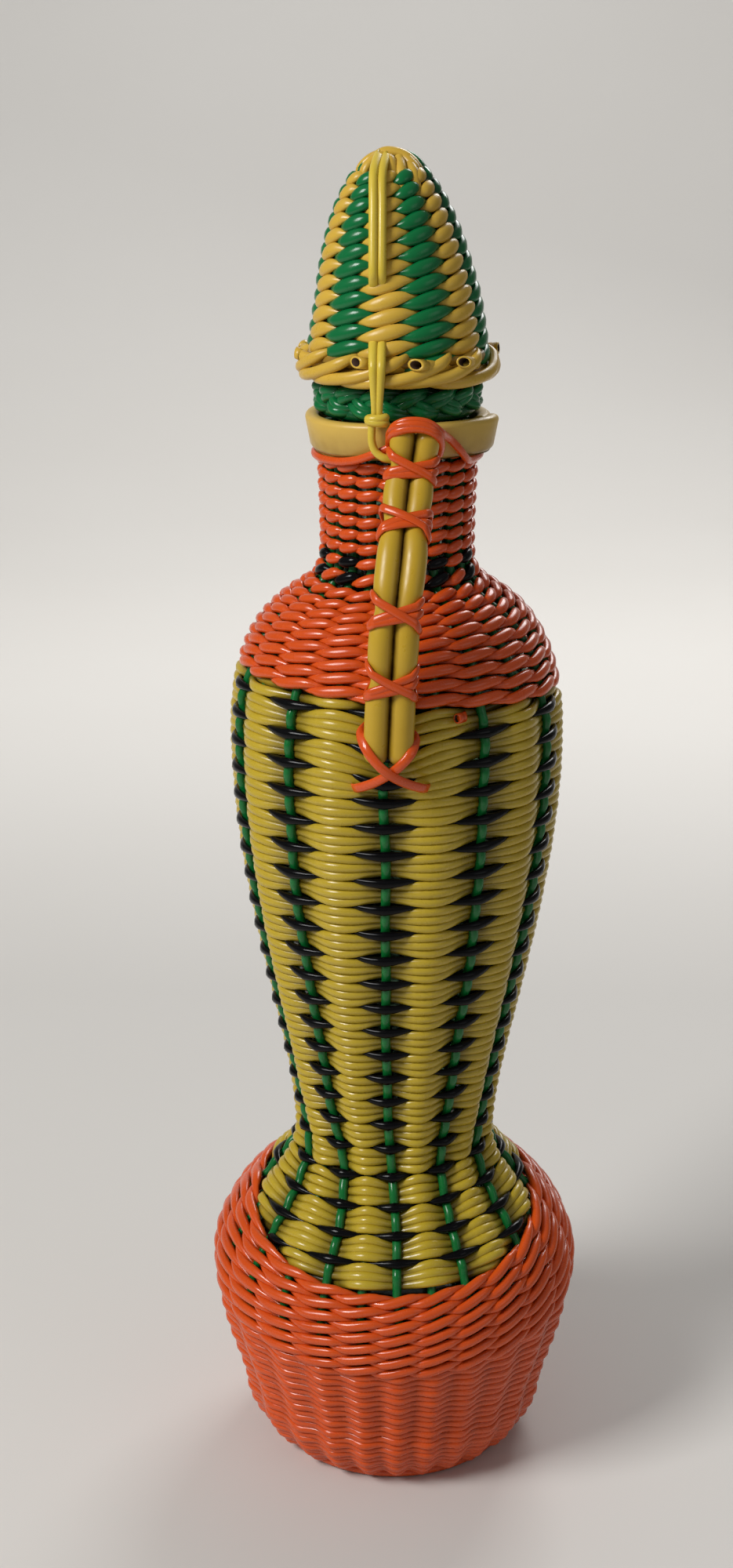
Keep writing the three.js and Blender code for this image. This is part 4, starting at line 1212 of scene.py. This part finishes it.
# Angle, radius and height of the cord round the neck, on its way from the handle and back to it
RING_START = ((-8, 22.9, 265.6), (-15, 22.7, 264.4), (-26, 21.4, 262.8), (-42, 20.0, 261.7))
RING_AROUND = [(a, 19.6, 261.4) for a in range(300, 64, -8)]
RING_END = ((54, 20.4, 261.6), (46, 21.6, 262.8), (38, 22.7, 265.2), (30, 23.6, 267.8))
RING_HOOK = ((9.8, -26.6, 270.2), (6.8, -28.0, 272.6), (2.6, -28.1, 273.1), (-0.6, -27.0, 271.8),
             (-1.8, -24.2, 269.0))
HOOD = ((-1.3, -21.6, 264.4), (-1.8, -25.2, 267.2), (-0.6, -28.2, 269.4), (2.5, -29.2, 270.4),
        (6.2, -29.2, 270.2), (8.9, -28.2, 268.6), (9.8, -25.2, 265.8), (9.4, -21.4, 262.6))


def make_top_lashing():
    """Cord round the neck under the collar, up over the collar and over the handle's top."""
    places = (*RING_START, *RING_AROUND, *RING_END)
    ring = [round_axis(radius, math.radians(angle), height) for angle, radius, height in places]
    strands = [lashing_strand([(-0.6, -23.2, 267.0), *ring, *RING_HOOK], 0.4, 280)]
    for lift, slope, tone in ((2.0, 0.4, 0.5), (1.1, -0.2, 0.3)):
        climb = np.linspace(slope, -slope, len(HOOD))
        hood = [(x, y, z + lift + up) for (x, y, z), up in zip(HOOD, climb)]
        strands.append(lashing_strand(hood, tone))
    nodes = ["neck_ring", "handle_top_lashing"]
    cords("neck_ring_and_top_lashing", strands, (1.9, 1.4), 10, orange_vinyl, nodes)


make_handle()
make_bindings()
make_foot_lashing()
make_top_lashing()


# Tether

TETHER_SIDE = -4.6  # it hangs in one upright plane beside the handle
TETHER_APART = 0.95  # each strand from the middle
# Height and depth on the cap's front, over the upper grains and under four of the lower ones
TETHER_ROUTE = ((325.0, -1.3), (318.0, -1.5), (309.0, -1.5), (304.2, -1.2), (301.6, 0.6),
                (299.4, 2.8), (295.0, 3.2), (290.4, 2.6), (288.6, 0.3), (286.4, -1.7))
KNOT_HEIGHT = 272.6
KNOT_FRONT = -23.9
# Across, out and up from the middle of the knot
KNOT_TAIL = ((-0.9, 0.2, 0.6), (-1.2, 0, -2.6), (-1.1, 0, -5.2), (-0.2, 0, -7.2), (1.6, 0, -8.4),
             (3.4, -0.6, -8.8))


def on_cap_front(side, height, depth):
    """A point on the front of the cap, this far to the side and under the outer face."""
    radius, _, _ = cap.at(cap.along_at(height), depth)
    return (side, -math.sqrt(max(radius**2 - (side + lean_at(height)) ** 2, 0.5)), height)


def make_tether():
    """Two strands from the top of the cap to the knot."""
    points = [(-3.0, -0.6, 328.6), (-3.6, -3.4, 328.6)]
    points += [on_cap_front(TETHER_SIDE, height, depth) for height, depth in TETHER_ROUTE]
    points += [(TETHER_SIDE, -24.0, 284.0), (TETHER_SIDE, -23.9, 280.0), (TETHER_SIDE, -23.4, 273.0)]
    middle = smooth_path(points, 130)
    turn = np.linspace(0, 5.2, len(middle))
    at_knot = smooth_step(0.8, 1, turn / turn[-1])
    strands = []
    for side in (-1, 1):
        line = middle.copy()
        line[:, 0] += side * (TETHER_APART - 0.45 * at_knot)
        line[:, 1] += side * 0.15 * np.sin(turn)
        strands.append(strand(line, (-0.15, -0.97, 0.2), 1 - 0.25 * at_knot, 0.4 + 0.1 * side))
    piece = cords("tether_strands", strands, (2.1, 1.9), 10, tether_vinyl, ["cap_tether"], body=None)
    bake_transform(piece)


def make_knot():
    """Two wraps round the strands on the collar's edge, and the tail that goes behind the handle."""
    middle = np.array((TETHER_SIDE, KNOT_FRONT, KNOT_HEIGHT))
    out = np.array([-0.19, -0.98, 0.0])
    across = np.array([0.98, -0.19, 0.0])
    up = np.array([0, 0, 1.0])
    t = np.linspace(0, TAU, 40, endpoint=False)
    ways = np.cos(t)[:, None] * across + np.sin(t)[:, None] * out
    strands = []
    for lift, tilt in ((0.4, 0.2), (-0.4, -0.2)):
        loop = middle + np.cos(t)[:, None] * across * 2.0 + np.sin(t)[:, None] * out * 1.2
        loop = loop + (lift + tilt * np.cos(t))[:, None] * up
        strands.append(strand(loop, ways, 1.0, 0.5, True))
    tail = [middle + a * across + o * out + u * up for a, o, u in KNOT_TAIL]
    strands.append(strand(smooth_path(tail, 40), out, 0.95, 0.5))
    cords("tether_knot_wraps", strands, (1.9, 1.8), 10, tether_vinyl, ["tether_knot"])


make_tether()
make_knot()


# Cut end of an orange cord beside the handle, where the shoulder weave was finished off

END_CORD = 2.4
END_HEIGHT = 207.4
END_ANGLES = (25.0, 23.6, 21.8, 20.4)
END_DEPTHS = (2.5, 0.6, -0.5, -0.9)


def make_loose_end():
    """A short stub that comes out of the weave."""
    along = np.full(len(END_ANGLES), weave.along_at(END_HEIGHT))
    points, ways = lay(along, np.array(END_DEPTHS), np.radians(END_ANGLES))
    line = smooth_path(points, 20)
    size = (END_CORD, END_CORD)
    cords("orange_loose_end", [strand(line, ways[0], 1.0, 0.5)], size, 12, orange_vinyl, [])
    way = unit(line[-1] - line[-3])
    mesh = cut_end(line[-1] + 0.5 * way, way, END_CORD / 2, orange_vinyl)
    finish_cut_ends("orange_loose_end_cut", mesh, [], "bottle")


make_loose_end()


# Stage, light and camera, in metres and watts

SKY = (0.95, 0.97, 1.0, 1)
SKY_STRENGTH = 0.2
OBJECT_MIDDLE = (0.0, 0.0, 0.16)
# Name, place, target, size and power; the last one lights the backdrop alone
LAMPS = (
    ("key", (-0.8, -0.55, 0.95), OBJECT_MIDDLE, 0.45, 12.5),
    ("fill", (0.95, -0.7, 0.7), OBJECT_MIDDLE, 0.6, 0.6),
    ("back", (0.35, 0.9, 0.9), OBJECT_MIDDLE, 0.5, 5.0),
    ("backdrop", (0.0, 0.7, 1.1), (0.0, 2.0, 0.6), 1.4, 11.0),
)
CAMERA_DISTANCE = 0.5134
CAMERA_HEIGHT = 0.3509
CAMERA_DOWN = 18.5
CAMERA_YAW = 0.81
SENSOR = 36.0
FOCAL_PIXELS = 2800
PHOTO_HEIGHT = 2000  # pixels


def make_floor():
    """A pale floor that curves up into a backdrop."""
    bend = [(1.0 + math.sin(t), 1 - math.cos(t)) for t in np.linspace(0, math.pi / 2, 13)]
    line = [(-6.0, 0.0), *bend, (2.0, 5.0)]
    points = [(x, y, z) for y, z in line for x in (-8.0, 8.0)]
    faces = [(2 * k, 2 * k + 1, 2 * k + 3, 2 * k + 2) for k in range(len(line) - 1)]
    # Painted board: pale and matt, with hardly any tone of its own
    paint = plain_material("pale_floor", "#DAD7D2", "#D4D0CA", 0.6, 333.0)
    mesh = new_mesh("floor", np.array(points) / MM, faces, paint)
    floor = bpy.data.objects.new("floor", mesh)
    bpy.context.collection.objects.link(floor)


def make_light():
    world = bpy.data.worlds.new("studio")
    world.use_nodes = True
    sky = world.node_tree.nodes["Background"]
    sky.inputs["Color"].default_value = SKY
    sky.inputs["Strength"].default_value = SKY_STRENGTH
    bpy.context.scene.world = world
    for name, place, target, size, power in LAMPS:
        light = bpy.data.lights.new(name, "AREA")
        light.size = size
        light.energy = power
        lamp = bpy.data.objects.new(name, light)
        lamp.location = place
        x, y, z = np.array(target) - np.array(place)
        lamp.rotation_euler = (math.atan2(math.hypot(x, y), -z), 0, math.atan2(y, x) - math.pi / 2)
        bpy.context.collection.objects.link(lamp)


def make_camera():
    lens = bpy.data.cameras.new("camera")
    lens.sensor_fit = "AUTO"
    lens.sensor_width = SENSOR
    lens.lens = SENSOR * FOCAL_PIXELS / PHOTO_HEIGHT
    lens.clip_start = 0.01
    eye = bpy.data.objects.new("camera", lens)
    eye.location = (0, -CAMERA_DISTANCE, CAMERA_HEIGHT)
    eye.rotation_euler = (math.radians(90 - CAMERA_DOWN), 0, math.radians(CAMERA_YAW))
    bpy.context.collection.objects.link(eye)
    bpy.context.scene.camera = eye


make_floor()
make_light()
make_camera()
bpy.context.scene.view_settings.view_transform = "Standard"
